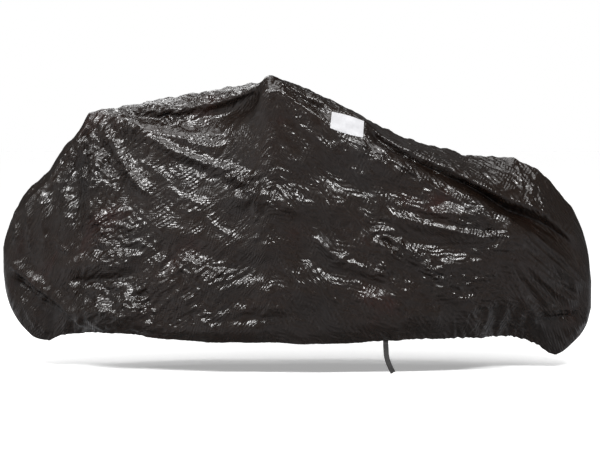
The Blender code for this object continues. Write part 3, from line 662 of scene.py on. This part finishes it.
def pulled_crests(a, b, way, seed):
    """Narrow crests, 0 to 1, drawn out along the local way, in radians: a blend of eight fixed ways."""
    total, weight = 0.0, 1e-6
    for k in range(8):
        turn = k * math.pi / 8
        share = np.maximum(np.cos(way - turn) ** 2 - 0.6, 0) ** 2
        along, across = turned(a, b, turn)
        along, across = along / CREST_LENGTH, across / CREST_WIDTH
        bend = 0.8 * noise(along * 0.8 + 7, across * 0.3, seed + 50 + k)
        crest = np.clip(1 - np.abs(noise(along, across + bend, seed + k)) * 3.2, 0, 1) ** 1.4
        total = total + share * crest
        weight = weight + share
    return total / weight


def facets(a, b, way, length, even, seed):
    """Flat facets between straight sharp creases: a sum of folded waves, each there only in patches."""
    total = 0.0
    for k in range(12):
        turn = k * math.pi / 12
        size = length * (0.75 + 0.5 * ((k * 5) % 12) / 12)
        across = turned(a, b, turn)[1] / size
        bend = 0.5 * noise(a / (2.6 * size) + k, b / (2.6 * size), seed + k)
        there = step_up((noise(a / (2.2 * size), b / (2.2 * size) + k, seed + 20 + k) + 0.02) / 0.3)
        share = even + (1 - even) * np.abs(np.cos(way - turn)) ** 6
        folded = 2 * np.abs(2 * ((across + bend) % 1.0) - 1) - 1
        total = total + folded * there * share
    return total


def patches(points, rows):
    """How crumpled each point is, and the double-angle vector of its creases' way."""
    much = np.zeros(points.shape[:2])
    way = np.zeros(points.shape[:2] + (2,))
    for x, z, along, across, tilt, crease, strength in rows:
        u, v = turned(points[..., 0] - x, points[..., 2] - z, math.radians(tilt))
        here = np.exp(-(((u / along) ** 2 + (v / across) ** 2) ** 1.4))
        much += strength * here
        way += 1.6 * here[..., None] * double_way(crease)
    return much, way


def directions(points, total):
    """The way of small creases everywhere, in radians, from that of the crumpled places and of PULLS."""
    for x, z, degrees in PULLS:
        here = np.exp(-((points[..., 0] - x) ** 2 + (points[..., 2] - z) ** 2) / PULL_REACH**2)
        total = total + here[..., None] * double_way(degrees)
    return 0.5 * np.arctan2(total[..., 1], total[..., 0])


def label_cover(points):
    """1 on the panel under the label, 0 clear of it."""
    (left, high), (right, high_right), (_, low_right), (_, low) = LABEL_CORNERS
    x, z = points[..., 0], points[..., 2]
    share = (x - left) / (right - left)
    top = high + share * (high_right - high)
    bottom = low + share * (low_right - low)
    inside = np.minimum(np.minimum(share, 1 - share) * (right - left), np.minimum(top - z, z - bottom))
    return step_up(1 + inside / 35)


def closing(columns):
    """0 where the hem is open, 1 where the two sides meet below as well."""
    rear = step_up((REAR_CLOSED_TO + REAR_CLOSING - columns) / REAR_CLOSING)
    front = step_up((columns - FRONT_CLOSED_FROM + FRONT_CLOSING) / FRONT_CLOSING)
    return np.clip(rear + front, 0, 1)[:, None]


def end_fade(columns, reach):
    """1 along the cover, and down to 0 at its very rear and front."""
    return (step_up((columns - REAR_END) / reach) * step_up((FRONT_END - columns) / reach))[:, None]


def panel_points(columns, count, labelled, folds, creases, crumples, slack, wider, hem_drop, seed):
    """The crinkled outer face of one side with its edges, its cloth coordinates and how crumpled it is."""
    base, level, run = base_grid(columns, count, wider, hem_drop)
    normal = normals_of(base)
    x = base[..., 0]
    shut = closing(columns)
    to_hem = run[:, -1:] - run
    ends = end_fade(columns, 50)
    broad = step_up(level / 0.9) * (1 - shut * (1 - step_up((7 - level) / 1.2))) * ends
    fine = step_up(run / FINE_FADE) * (1 - shut * (1 - step_up(to_hem / FINE_FADE))) * step_up(ends / 0.4)
    bare = 1 - label_cover(base) * labelled

    lift = raised(base, folds, *FOLD_SHAPE)
    calm = 1 - 0.75 * step_up((level - 0.4) / 0.6) * step_up((3.6 - level) / 0.6)
    for length, degrees, high, start in slack:
        across = turned(x, base[..., 2], math.radians(degrees))[0]
        lift += high * calm * np.sin(2 * math.pi * across / length + start + 0.6 * np.sin(across / 90))
    much, way = patches(base, crumples)
    way = directions(base, way)
    still = np.clip(-much, 0, 1)
    much = np.clip(much, 0, 2.2)
    lift *= broad * bare * (1 - 0.7 * still)

    small = sum(high * noise(x / length, run / length, seed + draw) for high, length, draw in LUMPS)
    for high, more, length, even, draw in FACETS:
        small += (high + more * much) * facets(x, run, way, length, even, seed + draw)
    small += (1.6 + 1.6 * much) * pulled_crests(x, run, way, seed + 200)
    broken = 1.25 + 0.8 * noise(x / 50, run / 50, seed + 400)
    small = small * (1 - 0.5 * still) + raised(base, creases, *CREASE_SHAPE) * broken
    lift += small * fine * bare

    # The elastic draws the hem into small uneven gathers that die out upwards.
    uneven = 0.35 + 1.6 * np.clip(noise(x / 70, x * 0, seed + 520) + 0.35, 0, 1)
    gather = np.interp(columns, *zip(*GATHERS))[:, None] * uneven
    for length, wander, along, up, reach, high, draw in HEM_WAVES:
        phase = 2 * math.pi * x / length + wander * noise(x / along, to_hem / up, seed + draw)
        lift += high * gather * np.exp(-to_hem / reach) * np.sin(phase) * (1 - shut)

    outer = base + lift[..., None] * normal
    pucker = sum(deep * np.sin(2 * math.pi * columns / length + start) for length, deep, start in PUCKERS)
    pucker += 0.6 * np.sin(2 * math.pi * columns / 17 + 4 * noise(columns / 40, columns * 0, 3))
    outer[..., 2] += pucker[:, None] * end_fade(columns, 60) * np.exp(-run / PUCKER_REACH)
    closed = (columns < REAR_CLOSED_TO) | (columns > FRONT_CLOSED_FROM)
    return with_edges(outer, np.stack([x, run], axis=2), much, normal[:, :1], closed, shut)


def with_edges(outer, cloth, much, normal, closed, shut):
    """The sheet with its top edge turned in at the seam and its hem rolled to the inside."""
    outer[:, 0, 1] = -SEAM_HALF_GAP
    outer[closed, -1, 1] = -SEAM_HALF_GAP
    outer[[0, -1], :, 1] = -SEAM_HALF_GAP
    outer[:, 1:-1, 1] = np.minimum(outer[:, 1:-1, 1], -SEAM_HALF_GAP - 0.1)
    seam = outer[:, :1] - SEAM_TURNED_IN * unit(normal * (1, 0, 1))
    seam[..., 1] = -SEAM_HALF_GAP
    # Where the panels are closed below, the roll flattens into a turned-in seam.
    rolls = []
    for into, up, _ in HEM_PROFILE:
        roll = outer[:, -1:].copy()
        roll[..., 1] += np.minimum(into * HEM_THICK, np.abs(roll[..., 1]) - SEAM_HALF_GAP) * (1 - shut)
        roll[..., 2] += up * (1 - 0.6 * shut)
        roll[closed, :, 1] = -SEAM_HALF_GAP
        rolls.append(roll)
    # A row close to the seam keeps its edge crisp.
    outer, cloth, much = (
        np.concatenate([g[:, :1], g[:, :1] + SEAM_EDGE * (g[:, 1:2] - g[:, :1]), g[:, 1:]], axis=1)
        for g in (outer, cloth, much)
    )
    cloth_rolls = [cloth[:, -1:] + (0, past) for *_, past in HEM_PROFILE]
    return (
        np.concatenate([seam, outer] + rolls, axis=1),
        np.concatenate([cloth[:, :1] - (0, SEAM_TURNED_IN), cloth] + cloth_rolls, axis=1),
        np.concatenate([much[:, :1], much] + [much[:, -1:]] * len(rolls), axis=1),
    )


def grid_quads(shape):
    """The corners of each quad in a grid of points, as numbers of points."""
    n, m = shape[:2]
    first = (np.arange(n - 1)[:, None] * m + np.arange(m - 1)[None, :]).reshape(-1)
    return np.stack([first, first + 1, first + m + 1, first + m], axis=1)


def in_scene(name, data):
    """A new object in the scene."""
    made = bpy.data.objects.new(name, data)
    bpy.context.scene.collection.objects.link(made)
    return made


def add_piece(name, points, faces, look, cloth=None):
    """A smooth mesh from points in the tables' millimetres, with any cloth coordinates as its UV map."""
    data = bpy.data.meshes.new(name)
    data.from_pydata(((np.array(points) - (0, 0, CARRY_HEIGHT)) * MM).tolist(), [], faces)
    data.update()
    data.shade_smooth()
    data.materials.append(look)
    if cloth is not None:
        corners = np.empty(len(data.loops), np.int32)
        data.loops.foreach_get("vertex_index", corners)
        places = (cloth.reshape(-1, 2) * MM)[corners]
        data.uv_layers.new(name="cloth").data.foreach_set("uv", places.astype(np.float32).ravel())
    return in_scene(name, data)


def film_sheet(name, grid, cloth, strength, look):
    """A one-layer sheet over a grid of points, which faces out on either side."""
    quads = grid_quads(grid.shape)
    if grid[0, 0, 1] > 0:
        quads = quads[:, ::-1]
    made = add_piece(name, grid.reshape(-1, 3), quads.tolist(), look, cloth)
    layer = made.data.attributes.new("crumple", "FLOAT", "POINT")
    layer.data.foreach_set("value", strength.astype(np.float32).ravel())
    return made


def closed_slab(name, front, back, cloth, look):
    """A thin sheet between two grids of points, closed round its rim."""
    n, m = front.shape[:2]
    quads = grid_quads(front.shape)
    rim = [(i, 0) for i in range(n)] + [(n - 1, j) for j in range(1, m)]
    rim += [(i, m - 1) for i in range(n - 2, -1, -1)] + [(0, j) for j in range(m - 2, 0, -1)]
    rim = [i * m + j for i, j in rim]
    sides = [(a + n * m, b + n * m, b, a) for a, b in zip(rim, rim[1:] + rim[:1])]
    faces = quads.tolist() + (quads[:, ::-1] + n * m).tolist() + sides
    points = np.concatenate([front.reshape(-1, 3), back.reshape(-1, 3)])
    made = add_piece(name, points, faces, look, np.concatenate([cloth.reshape(-1, 2)] * 2))
    made.data.set_sharp_from_angle(angle=math.radians(EDGE_ANGLE))
    return made


def stitch_mesh(name, pairs, radius, look):
    """Many small thread humps, each a short bowed tube between a pair of points, joined into one mesh."""
    sides, rings = 6, 5
    points, faces = [], []
    for start, end in np.array(pairs, float):
        run = unit(end - start)
        out = np.array([0.0, -1.0, 0.0])
        out = unit(out - run * (out @ run))
        side = np.cross(run, out)
        base = len(points)
        for r in range(rings):
            share = r / (rings - 1)
            bow = math.sin(math.pi * share)
            middle = start + (end - start) * share + out * (radius * 1.1 * bow - 0.1)
            wide = radius * (0.45 + 0.55 * bow)
            for s in range(sides):
                turn = 2 * math.pi * s / sides
                points.append(middle + wide * (math.cos(turn) * out + math.sin(turn) * side))
        for low in range(base, base + (rings - 1) * sides, sides):
            ring = [(low + s, low + (s + 1) % sides) for s in range(sides)]
            faces += [(a, b, b + sides, a + sides) for a, b in ring]
        faces.append(tuple(base + s for s in reversed(range(sides))))
        faces.append(tuple(base + (rings - 1) * sides + s for s in range(sides)))
    return add_piece(name, points, faces, look)


def feed(made, inputs):
    """Gives a node's inputs their values, or the outputs that drive them."""
    for key, value in inputs:
        if isinstance(value, bpy.types.NodeSocket):
            made.id_data.links.new(value, made.inputs[key])
        else:
            made.inputs[key].default_value = value


def node(tree, kind, inputs=(), out=0, **settings):
    """One output of a new node."""
    made = tree.nodes.new(kind)
    for key, value in settings.items():
        setattr(made, key, value)
    feed(made, inputs)
    return made.outputs[out]


def noise_node(tree, place, scale, detail):
    """Soft random lumps, so many to a metre."""
    return node(tree, "ShaderNodeTexNoise", (("Vector", place), ("Scale", scale), ("Detail", detail)))


def wave_node(tree, place, scale, distortion, bands, more=(), profile="SIN"):
    """Parallel bands that wander by their distortion."""
    inputs = (("Vector", place), ("Scale", scale), ("Distortion", distortion), *more)
    return node(tree, "ShaderNodeTexWave", inputs, "Fac", bands_direction=bands, wave_profile=profile)


def math_node(tree, work, *values):
    """A sum, product or the like of two values or more."""
    return node(tree, "ShaderNodeMath", enumerate(values), operation=work)


def span_node(tree, value, span, low, high, curve="LINEAR"):
    """A value whose span, from start to end, becomes low to high."""
    names = ("Value", "From Min", "From Max", "To Min", "To Max")
    return node(tree, "ShaderNodeMapRange", zip(names, (value, *span, low, high)), interpolation_type=curve)


def mix_node(tree, share, first, second, blend="MIX"):
    """Two colours blended by a share of the second."""
    inputs = ((0, share), (6, first), (7, second))
    return node(tree, "ShaderNodeMix", inputs, 2, data_type="RGBA", blend_type=blend)


def bump_node(tree, height, strength, distance, *before):
    """Normals bent by a pattern as deep as a distance in metres, on top of any bent before."""
    inputs = [("Strength", strength), ("Distance", distance), ("Height", height)]
    return node(tree, "ShaderNodeBump", inputs + [("Normal", normal) for normal in before])


def ramp(tree, value, stops):
    """A colour ramp from rows of place, red, green, blue, or of place, grey."""
    made = node(tree, "ShaderNodeValToRGB", (("Fac", value),))
    bands = made.node.color_ramp.elements
    while len(bands) < len(stops):
        bands.new(0.5)
    for band, (place, *colour) in zip(bands, stops):
        band.position = place
        band.color = (*(colour if len(colour) == 3 else colour * 3), 1)
    return made


def new_material(name):
    """A new material, its node tree and its main shader."""
    made = bpy.data.materials.new(name)
    made.use_nodes = True
    return made, made.node_tree, made.node_tree.nodes["Principled BSDF"]


# Tones of the film, over its broad noise.
FILM_TONES = (
    # place red    green   blue
    (0.30, 0.0057, 0.0040, 0.0033),
    (0.48, 0.0062, 0.0036, 0.0024),
    (0.60, 0.0066, 0.0035, 0.0022),
    (0.72, 0.0110, 0.0037, 0.0025),
)
# Small creases of the film's surface, in sets that run one way each, in degrees.
FILM_WAVES = (
    # scale way height
    (14, 40, 0.75),
    (19, 105, 0.6),
    (27, 160, 0.5),
    (36, 70, 0.3),
    (47, 5, 0.16),
    (60, 125, 0.1),
)
LABEL_TONES = ((0.30, 0.25, 0.25, 0.26), (0.52, 0.30, 0.30, 0.31), (0.75, 0.33, 0.33, 0.34))


def folded_waves(tree, place, scale, turn, high):
    """Small straight-sided creases across one direction, wandering and there only in patches."""
    inputs = (("Vector", place), ("Angle", turn))
    across = node(tree, "ShaderNodeVectorRotate", inputs, rotation_type="Z_AXIS")
    wave = wave_node(tree, across, float(scale), 3.5, "X", (("Detail", 1.0), ("Detail Scale", 0.8)), "TRI")
    there = noise_node(tree, across, scale * 0.8, 0.0)
    return math_node(tree, "MULTIPLY", wave, span_node(tree, there, (0.45, 0.6), 0.0, high, "SMOOTHSTEP"))


def film_material(name, shift):
    """Thin black film: brown-black with faint red patches, uneven gloss and fine crinkles in its surface."""
    made, tree, shader = new_material(name)
    cloth = node(tree, "ShaderNodeUVMap", uv_map="cloth")
    place = node(tree, "ShaderNodeVectorMath", ((0, cloth), (1, (shift, 2 * shift, 0))), operation="ADD")
    crumple = node(tree, "ShaderNodeAttribute", out="Fac", attribute_name="crumple")
    tone = ramp(tree, noise_node(tree, place, 3.4, 3.0), FILM_TONES)
    lighter = ramp(tree, noise_node(tree, place, 90.0, 4.0), ((0.35, 0.8), (0.70, 1.25)))
    height = None
    for scale, degrees, high in FILM_WAVES:
        folded = folded_waves(tree, place, scale, math.radians(degrees), high)
        height = folded if height is None else math_node(tree, "ADD", height, folded)
    deep = math_node(tree, "MULTIPLY_ADD", crumple, 0.2, 0.5)
    creased = bump_node(tree, height, deep, 0.0036)
    grained = bump_node(tree, noise_node(tree, place, 170.0, 2.0), 0.15, 0.0008, creased)
    # The coat is a skin of clear gloss over the softer film.
    feed(shader, (
        ("Base Color", mix_node(tree, 1.0, tone, lighter, "MULTIPLY")),
        ("Roughness", span_node(tree, noise_node(tree, place, 16.0, 4.0), (0.3, 0.7), 0.24, 0.38)),
        ("Normal", grained),
        ("IOR", 1.44),
        ("Specular IOR Level", 0.25),
        ("Coat Weight", 0.75),
        ("Coat Roughness", 0.13),
        ("Coat IOR", 1.44),
        ("Coat Normal", grained),
    ))
    return made


def cloth_look(made, tree, shader, colour, height, strength, distance, rough, low, high):
    """Feeds a material a colour, a bump and a roughness that each come from its own pattern."""
    feed(shader, (
        ("Base Color", colour),
        ("Normal", bump_node(tree, height, strength, distance)),
        ("Roughness", span_node(tree, rough, (0.0, 1.0), low, high)),
    ))
    return made


def patch_material():
    """Coated label cloth: pale grey with a fine even weave and faint handling marks."""
    made, tree, shader = new_material("label_look")
    cloth = node(tree, "ShaderNodeUVMap", uv_map="cloth")
    marks = noise_node(tree, cloth, 22.0, 5.0)
    weave = math_node(tree, "ADD", *(wave_node(tree, cloth, 190.0, 0.4, bands) for bands in "XY"))
    tone = ramp(tree, marks, LABEL_TONES)
    return cloth_look(made, tree, shader, tone, weave, 0.25, 0.0003, marks, 0.42, 0.62)


def webbing_material():
    """Black woven tape: ribs across it, slanting threads and slightly greyed high threads."""
    made, tree, shader = new_material("webbing_look")
    cloth = node(tree, "ShaderNodeUVMap", uv_map="cloth")
    ribs = wave_node(tree, cloth, 110.0, 1.0, "Y", (("Detail Scale", 2.0),))
    threads = wave_node(tree, cloth, 190.0, 2.0, "DIAGONAL", (("Detail Scale", 3.0),))
    both = math_node(tree, "ADD", ribs, threads)
    tone = ramp(tree, both, ((0.2, 0.006, 0.006, 0.006), (0.8, 0.022, 0.021, 0.021)))
    return cloth_look(made, tree, shader, tone, both, 0.7, 0.0006, threads, 0.5, 0.8)


def thread_material(name, dark, light):
    """Sewing thread with a faint twist, between two tones."""
    made, tree, shader = new_material(name)
    twist = noise_node(tree, node(tree, "ShaderNodeTexCoord", out="Object"), 900.0, 2.0)
    tone = ramp(tree, twist, ((0.3, *dark), (0.7, *light)))
    return cloth_look(made, tree, shader, tone, twist, 0.5, 0.0003, twist, 0.45, 0.7)


def rays_against(grid):
    """A function that gives how far out the near sheet is at x and z, from either side."""
    tree = BVHTree.FromPolygons(grid.reshape(-1, 3).tolist(), grid_quads(grid.shape).tolist())

    def out_at(x, z, start=-1000, way=1):
        hit = tree.ray_cast(Vector((x, start, z)), Vector((0, way, 0)))[0]
        return hit.y if hit else None

    return out_at


def label_spot(u, v):
    """The label's x and z at shares across and down it. Its long edges bow out a little."""
    top_left, top_right, low_right, low_left = (np.array(corner, float) for corner in LABEL_CORNERS)
    top = top_left * (1 - u) + top_right * u
    low = low_left * (1 - u) + low_right * u
    bow = 4.0 * math.sin(math.pi * u) * (1 - 2 * v)
    return top * (1 - v) + low * v + (0, bow)


def label_front(out_at):
    """The front of the blank patch, a little proud of the near sheet, wavy and curled at two corners."""
    u, v = np.meshgrid(*(np.linspace(0, 1, steps + 1) for steps in LABEL_GRID), indexing="ij")
    back = np.zeros(u.shape + (3,))
    for i, j in np.ndindex(u.shape):
        x, z = label_spot(u[i, j], v[i, j])
        back[i, j] = (x, out_at(x, z), z)
    # The patch is stiffer than the film, so it bridges the film's dips.
    for _ in range(LABEL_BRIDGING):
        even = back[..., 1].copy()
        even[1:-1] = (even[:-2] + 2 * even[1:-1] + even[2:]) / 4
        even[:, 1:-1] = (even[:, :-2] + 2 * even[:, 1:-1] + even[:, 2:]) / 4
        back[..., 1] = np.minimum(even, back[..., 1])
    wave = 0.9 * np.sin(2.4 * math.pi * u + 0.6) * np.sin(math.pi * v) + 0.8 * noise(u * 3, v * 2, 61)
    curl = 5.0 * np.clip((v - 0.72) / 0.28, 0, 1) ** 2 * np.clip((0.30 - u) / 0.30, 0, 1) ** 1.5
    curl += 2.0 * np.clip((u - 0.9) / 0.1, 0, 1) ** 2 * np.clip((0.4 - v) / 0.4, 0, 1)
    back[..., 1] -= SEWN_GAP
    back[..., 1] -= np.clip(wave, 0, None) * 0.8 + curl
    return u, v, back


def make_label(out_at, look, thread):
    """The patch and its border stitches."""
    u, v, back = label_front(out_at)
    front = back + normals_of(back) * LABEL_THICK
    wide, tall = LABEL_FLAT
    patch = closed_slab("label_patch", front, back, np.stack([u * wide, v * tall], axis=2), look)
    return patch, border_stitches(front, thread)


def border_stitches(front, look):
    """Short rounded stitches round the patch, set in from its edge."""
    right, low = (steps - STITCH_INSET for steps in LABEL_GRID)
    corners = [(STITCH_INSET, STITCH_INSET), (right, STITCH_INSET), (right, low), (STITCH_INSET, low)]
    route = []
    for (i, j), (k, l) in zip(corners, corners[1:] + corners[:1]):
        steps = max(abs(k - i), abs(l - j))
        route += [front[i + (k - i) * s // steps, j + (l - j) * s // steps] for s in range(steps)]
    route = np.array(route + [front[corners[0]]])
    lengths = lengths_along(route)

    def spot(length):
        return [np.interp(length, lengths, route[:, k]) for k in range(3)]

    starts = np.arange(0.5, lengths[-1] - STITCH_PITCH, STITCH_PITCH)
    pairs = [(spot(start), spot(start + STITCH_LENGTH)) for start in starts]
    return stitch_mesh("label_stitches", pairs, 0.35, look)


def make_strap(out_at, look):
    """Flat woven tape from behind the hem, hanging free and turning a little at its cut end."""
    rows = np.array([(x, np.nan if out is None else -out, z) for x, out, z in STRAP_LINE], float)
    half = STRAP_WIDTH / 2
    for k in np.flatnonzero(np.isnan(rows[:, 1])):
        x, _, z = rows[k]
        near_by = [out_at(x + dx, z + dz, 0, -1) for dx in (-half, 0, half) for dz in (-6, -3, 0, 3, 6)]
        rows[k, 1] = max(y for y in near_by if y is not None) + SEWN_GAP
    steps = np.arange(len(rows), dtype=float)
    line = np.stack([smooth(steps, rows[:, k], np.linspace(0, len(rows) - 1, 97)) for k in range(3)], axis=1)
    along = unit(np.gradient(line[:, ::2], axis=0))
    side = np.stack([-along[:, 1], np.zeros(len(line)), along[:, 0]], axis=1)
    thick = np.cross(unit(np.gradient(line, axis=0)), side)
    thick = (thick * np.sign(thick[:, 1:2]))[:, None, :]
    cross = np.linspace(-half, half, 17)
    down = lengths_along(line)
    free = step_up((down - 50) / 60)[:, None]
    cup = 0.9 * (cross / half) ** 2 * free + 0.5 * np.sin(down / 17)[:, None] * (cross / half) * free
    outer = line[:, None, :] + cross[None, :, None] * side[:, None, :] + cup[..., None] * thick
    selvedge = 0.75 + 0.25 * np.sqrt(np.clip(1 - (cross / half) ** 6, 0, 1))
    inner = outer + thick * (STRAP_THICK * selvedge)[None, :, None]
    cloth = np.stack(np.broadcast_arrays(cross[None, :], down[:, None]), axis=2)
    return closed_slab("tie_webbing", outer, inner, cloth, look), down[-1]


def make_bar_tack(out_at, look):
    """The zigzag of thread that holds the strap to the hem, on the outer face."""
    pairs = []
    for z in TACK_ROWS:
        for k in range(TACK_STITCHES):
            x = TACK_X - TACK_WIDTH / 2 + TACK_WIDTH * k / TACK_STITCHES
            ends = ((x, -TACK_RISE), (x + TACK_SLANT, TACK_RISE))
            pairs.append([(at, out_at(at, z) - 0.2, z + up) for at, up in ends])
    return stitch_mesh("bar_tack", pairs, 0.45, look)


def aim_at(made, place, target):
    """Puts a camera or a light at a place, turned to its target."""
    made.location = place
    made.rotation_euler = (Vector(target) - Vector(place)).to_track_quat("-Z", "Y").to_euler()


SENSOR_WIDTH = 36.0
LENS = 109.76
CAMERA_PLACE = (0.118, -7.482, -0.068)
CAMERA_TARGET = (0.118, 0, -0.591)


def add_camera():
    """A long lens on the photograph's side, a little below the cover's top and looking slightly down."""
    data = bpy.data.cameras.new("camera")
    data.sensor_width = SENSOR_WIDTH
    data.lens = LENS
    made = in_scene("camera", data)
    aim_at(made, CAMERA_PLACE, CAMERA_TARGET)
    bpy.context.scene.camera = made


LIGHTS = (
    # name  place               aimed at         width height watts
    ("key", (-1.45, -3.0, 2.15), (-0.2, 0, -0.5), 1.8, 0.8, 165),
    ("strip", (0.7, -3.2, 2.45), (0.3, 0, -0.5), 2.8, 0.35, 118),
    ("side", (2.3, -2.8, 2.2), (0.45, 0, -0.35), 1.0, 0.6, 76),
    ("left", (-2.85, -2.15, 1.22), (-0.75, 0, -0.3), 0.9, 0.6, 12),
    ("back_key", (-1.2, 3.0, 2.15), (-0.2, 0, -0.5), 1.8, 0.8, 18),
    ("back_strip", (-0.7, 3.2, 2.45), (-0.3, 0, -0.5), 2.8, 0.35, 9),
)
OVERHEAD_STRENGTH = 1.9


def add_lights():
    """Soft panels on both sides, and an even light from above that keeps the floor pale to its far edge."""
    for name, place, target, width, height, watts in LIGHTS:
        data = bpy.data.lights.new(name, "AREA")
        data.shape = "RECTANGLE"
        data.size, data.size_y = width, height
        data.energy = watts
        aim_at(in_scene(name, data), place, target)
    overhead = bpy.data.lights.new("overhead", "SUN")
    overhead.energy = OVERHEAD_STRENGTH
    overhead.angle = math.radians(50)
    in_scene("overhead", overhead)


FLOOR_HALF = 30.0
FLOOR_LEVEL = -1.180


def add_floor():
    """A plain pale floor that glows a little and isn't mirrored in the film."""
    data = bpy.data.meshes.new("floor")
    corners = [(x * FLOOR_HALF, y * FLOOR_HALF, FLOOR_LEVEL) for x, y in ((-1, -1), (1, -1), (1, 1), (-1, 1))]
    data.from_pydata(corners, [], [(0, 1, 2, 3)])
    look, _, shader = new_material("floor_look")
    feed(shader, (
        ("Base Color", (0.90, 0.90, 0.90, 1)),
        ("Emission Color", (1, 1, 1, 1)),
        ("Emission Strength", 0.35),
        ("Roughness", 0.9),
    ))
    data.materials.append(look)
    made = in_scene("floor", data)
    made.visible_glossy = False


# What the film mirrors in front, from straight down at 0 to straight up at 1.
FRONT_SKY = (
    # place red  green blue
    (0.0, 0.10, 0.10, 0.10),
    (0.2, 0.30, 0.30, 0.31),
    (0.36, 0.50, 0.50, 0.53),
    (0.46, 0.24, 0.24, 0.25),
    (0.53, 0.045, 0.045, 0.045),
    (0.60, 0.46, 0.46, 0.46),
    (0.67, 0.03, 0.03, 0.03),
    (0.80, 0.03, 0.03, 0.03),
    (1.0, 0.17, 0.17, 0.17),
)


def add_sky():
    """A white room to the camera. The film mirrors grey bands in front, paler aside, and a dim back."""
    world = bpy.data.worlds.new("studio")
    world.use_nodes = True
    tree = world.node_tree
    way = node(tree, "ShaderNodeTexCoord", out="Generated")
    x, y, z = node(tree, "ShaderNodeSeparateXYZ", ((0, way),)).node.outputs

    def part(value, start, end, high=1.0):
        return span_node(tree, value, (start, end), 0.0, high, "SMOOTHSTEP")

    front = ramp(tree, span_node(tree, z, (-1.0, 1.0), 0.0, 1.0), FRONT_SKY)
    right = math_node(tree, "MULTIPLY", x, 0.45)
    left = math_node(tree, "MULTIPLY", x, -1.0)
    flank = part(math_node(tree, "MAXIMUM", left, right), 0.2, 0.7, 0.30)
    paler = mix_node(tree, part(z, -0.8, -0.3), front, flank, "ADD")
    behind = math_node(tree, "MULTIPLY", part(y, -0.3, 0.6), part(z, -0.2, 0.0))
    room = mix_node(tree, behind, paler, (0.09, 0.09, 0.09, 1))
    seen = node(tree, "ShaderNodeLightPath", out="Is Camera Ray")
    feed(tree.nodes["Background"], (("Color", mix_node(tree, seen, room, (1, 1, 1, 1))),))
    bpy.context.scene.world = world


near_grid, near_cloth, near_much = panel_points(
    spread(NEAR_COLUMNS), NEAR_ROWS, True, NEAR_FOLDS, NEAR_CREASES, NEAR_CRUMPLES, NEAR_SLACK, 1.0, 0, 1000
)
far_grid, far_cloth, far_much = panel_points(
    spread(FAR_COLUMNS), FAR_ROWS, False, FAR_FOLDS, FAR_CREASES, FAR_CRUMPLES, FAR_SLACK, 0.97, 22, 2000
)
near = film_sheet("film_near_side", near_grid, near_cloth, near_much, film_material("film_near_look", 0.0))
far_look = film_material("film_far_look", 3.7)
far = film_sheet("film_far_side", far_grid * (1, -1, 1), far_cloth, far_much, far_look)
out_at = rays_against(near_grid)
light_thread = thread_material("thread_look", (0.30, 0.30, 0.29), (0.45, 0.45, 0.44))
dark_thread = thread_material("dark_thread_look", (0.02, 0.02, 0.02), (0.05, 0.05, 0.05))
patch, stitches = make_label(out_at, patch_material(), light_thread)
strap, strap_length = make_strap(out_at, webbing_material())
tack = make_bar_tack(out_at, dark_thread)

for piece, slot in (
    (near, "film_near"), (far, "film_far"), (patch, "label_cloth"), (stitches, "label_cloth"),
    (strap, "webbing"), (tack, "webbing"),
):
    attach(piece, "root")
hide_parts("near_panel")
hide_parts("far_panel")
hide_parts("label")
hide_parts("tie_strap")

add_camera()
add_floor()
add_sky()
add_lights()
bpy.context.scene.view_settings.view_transform = "Standard"
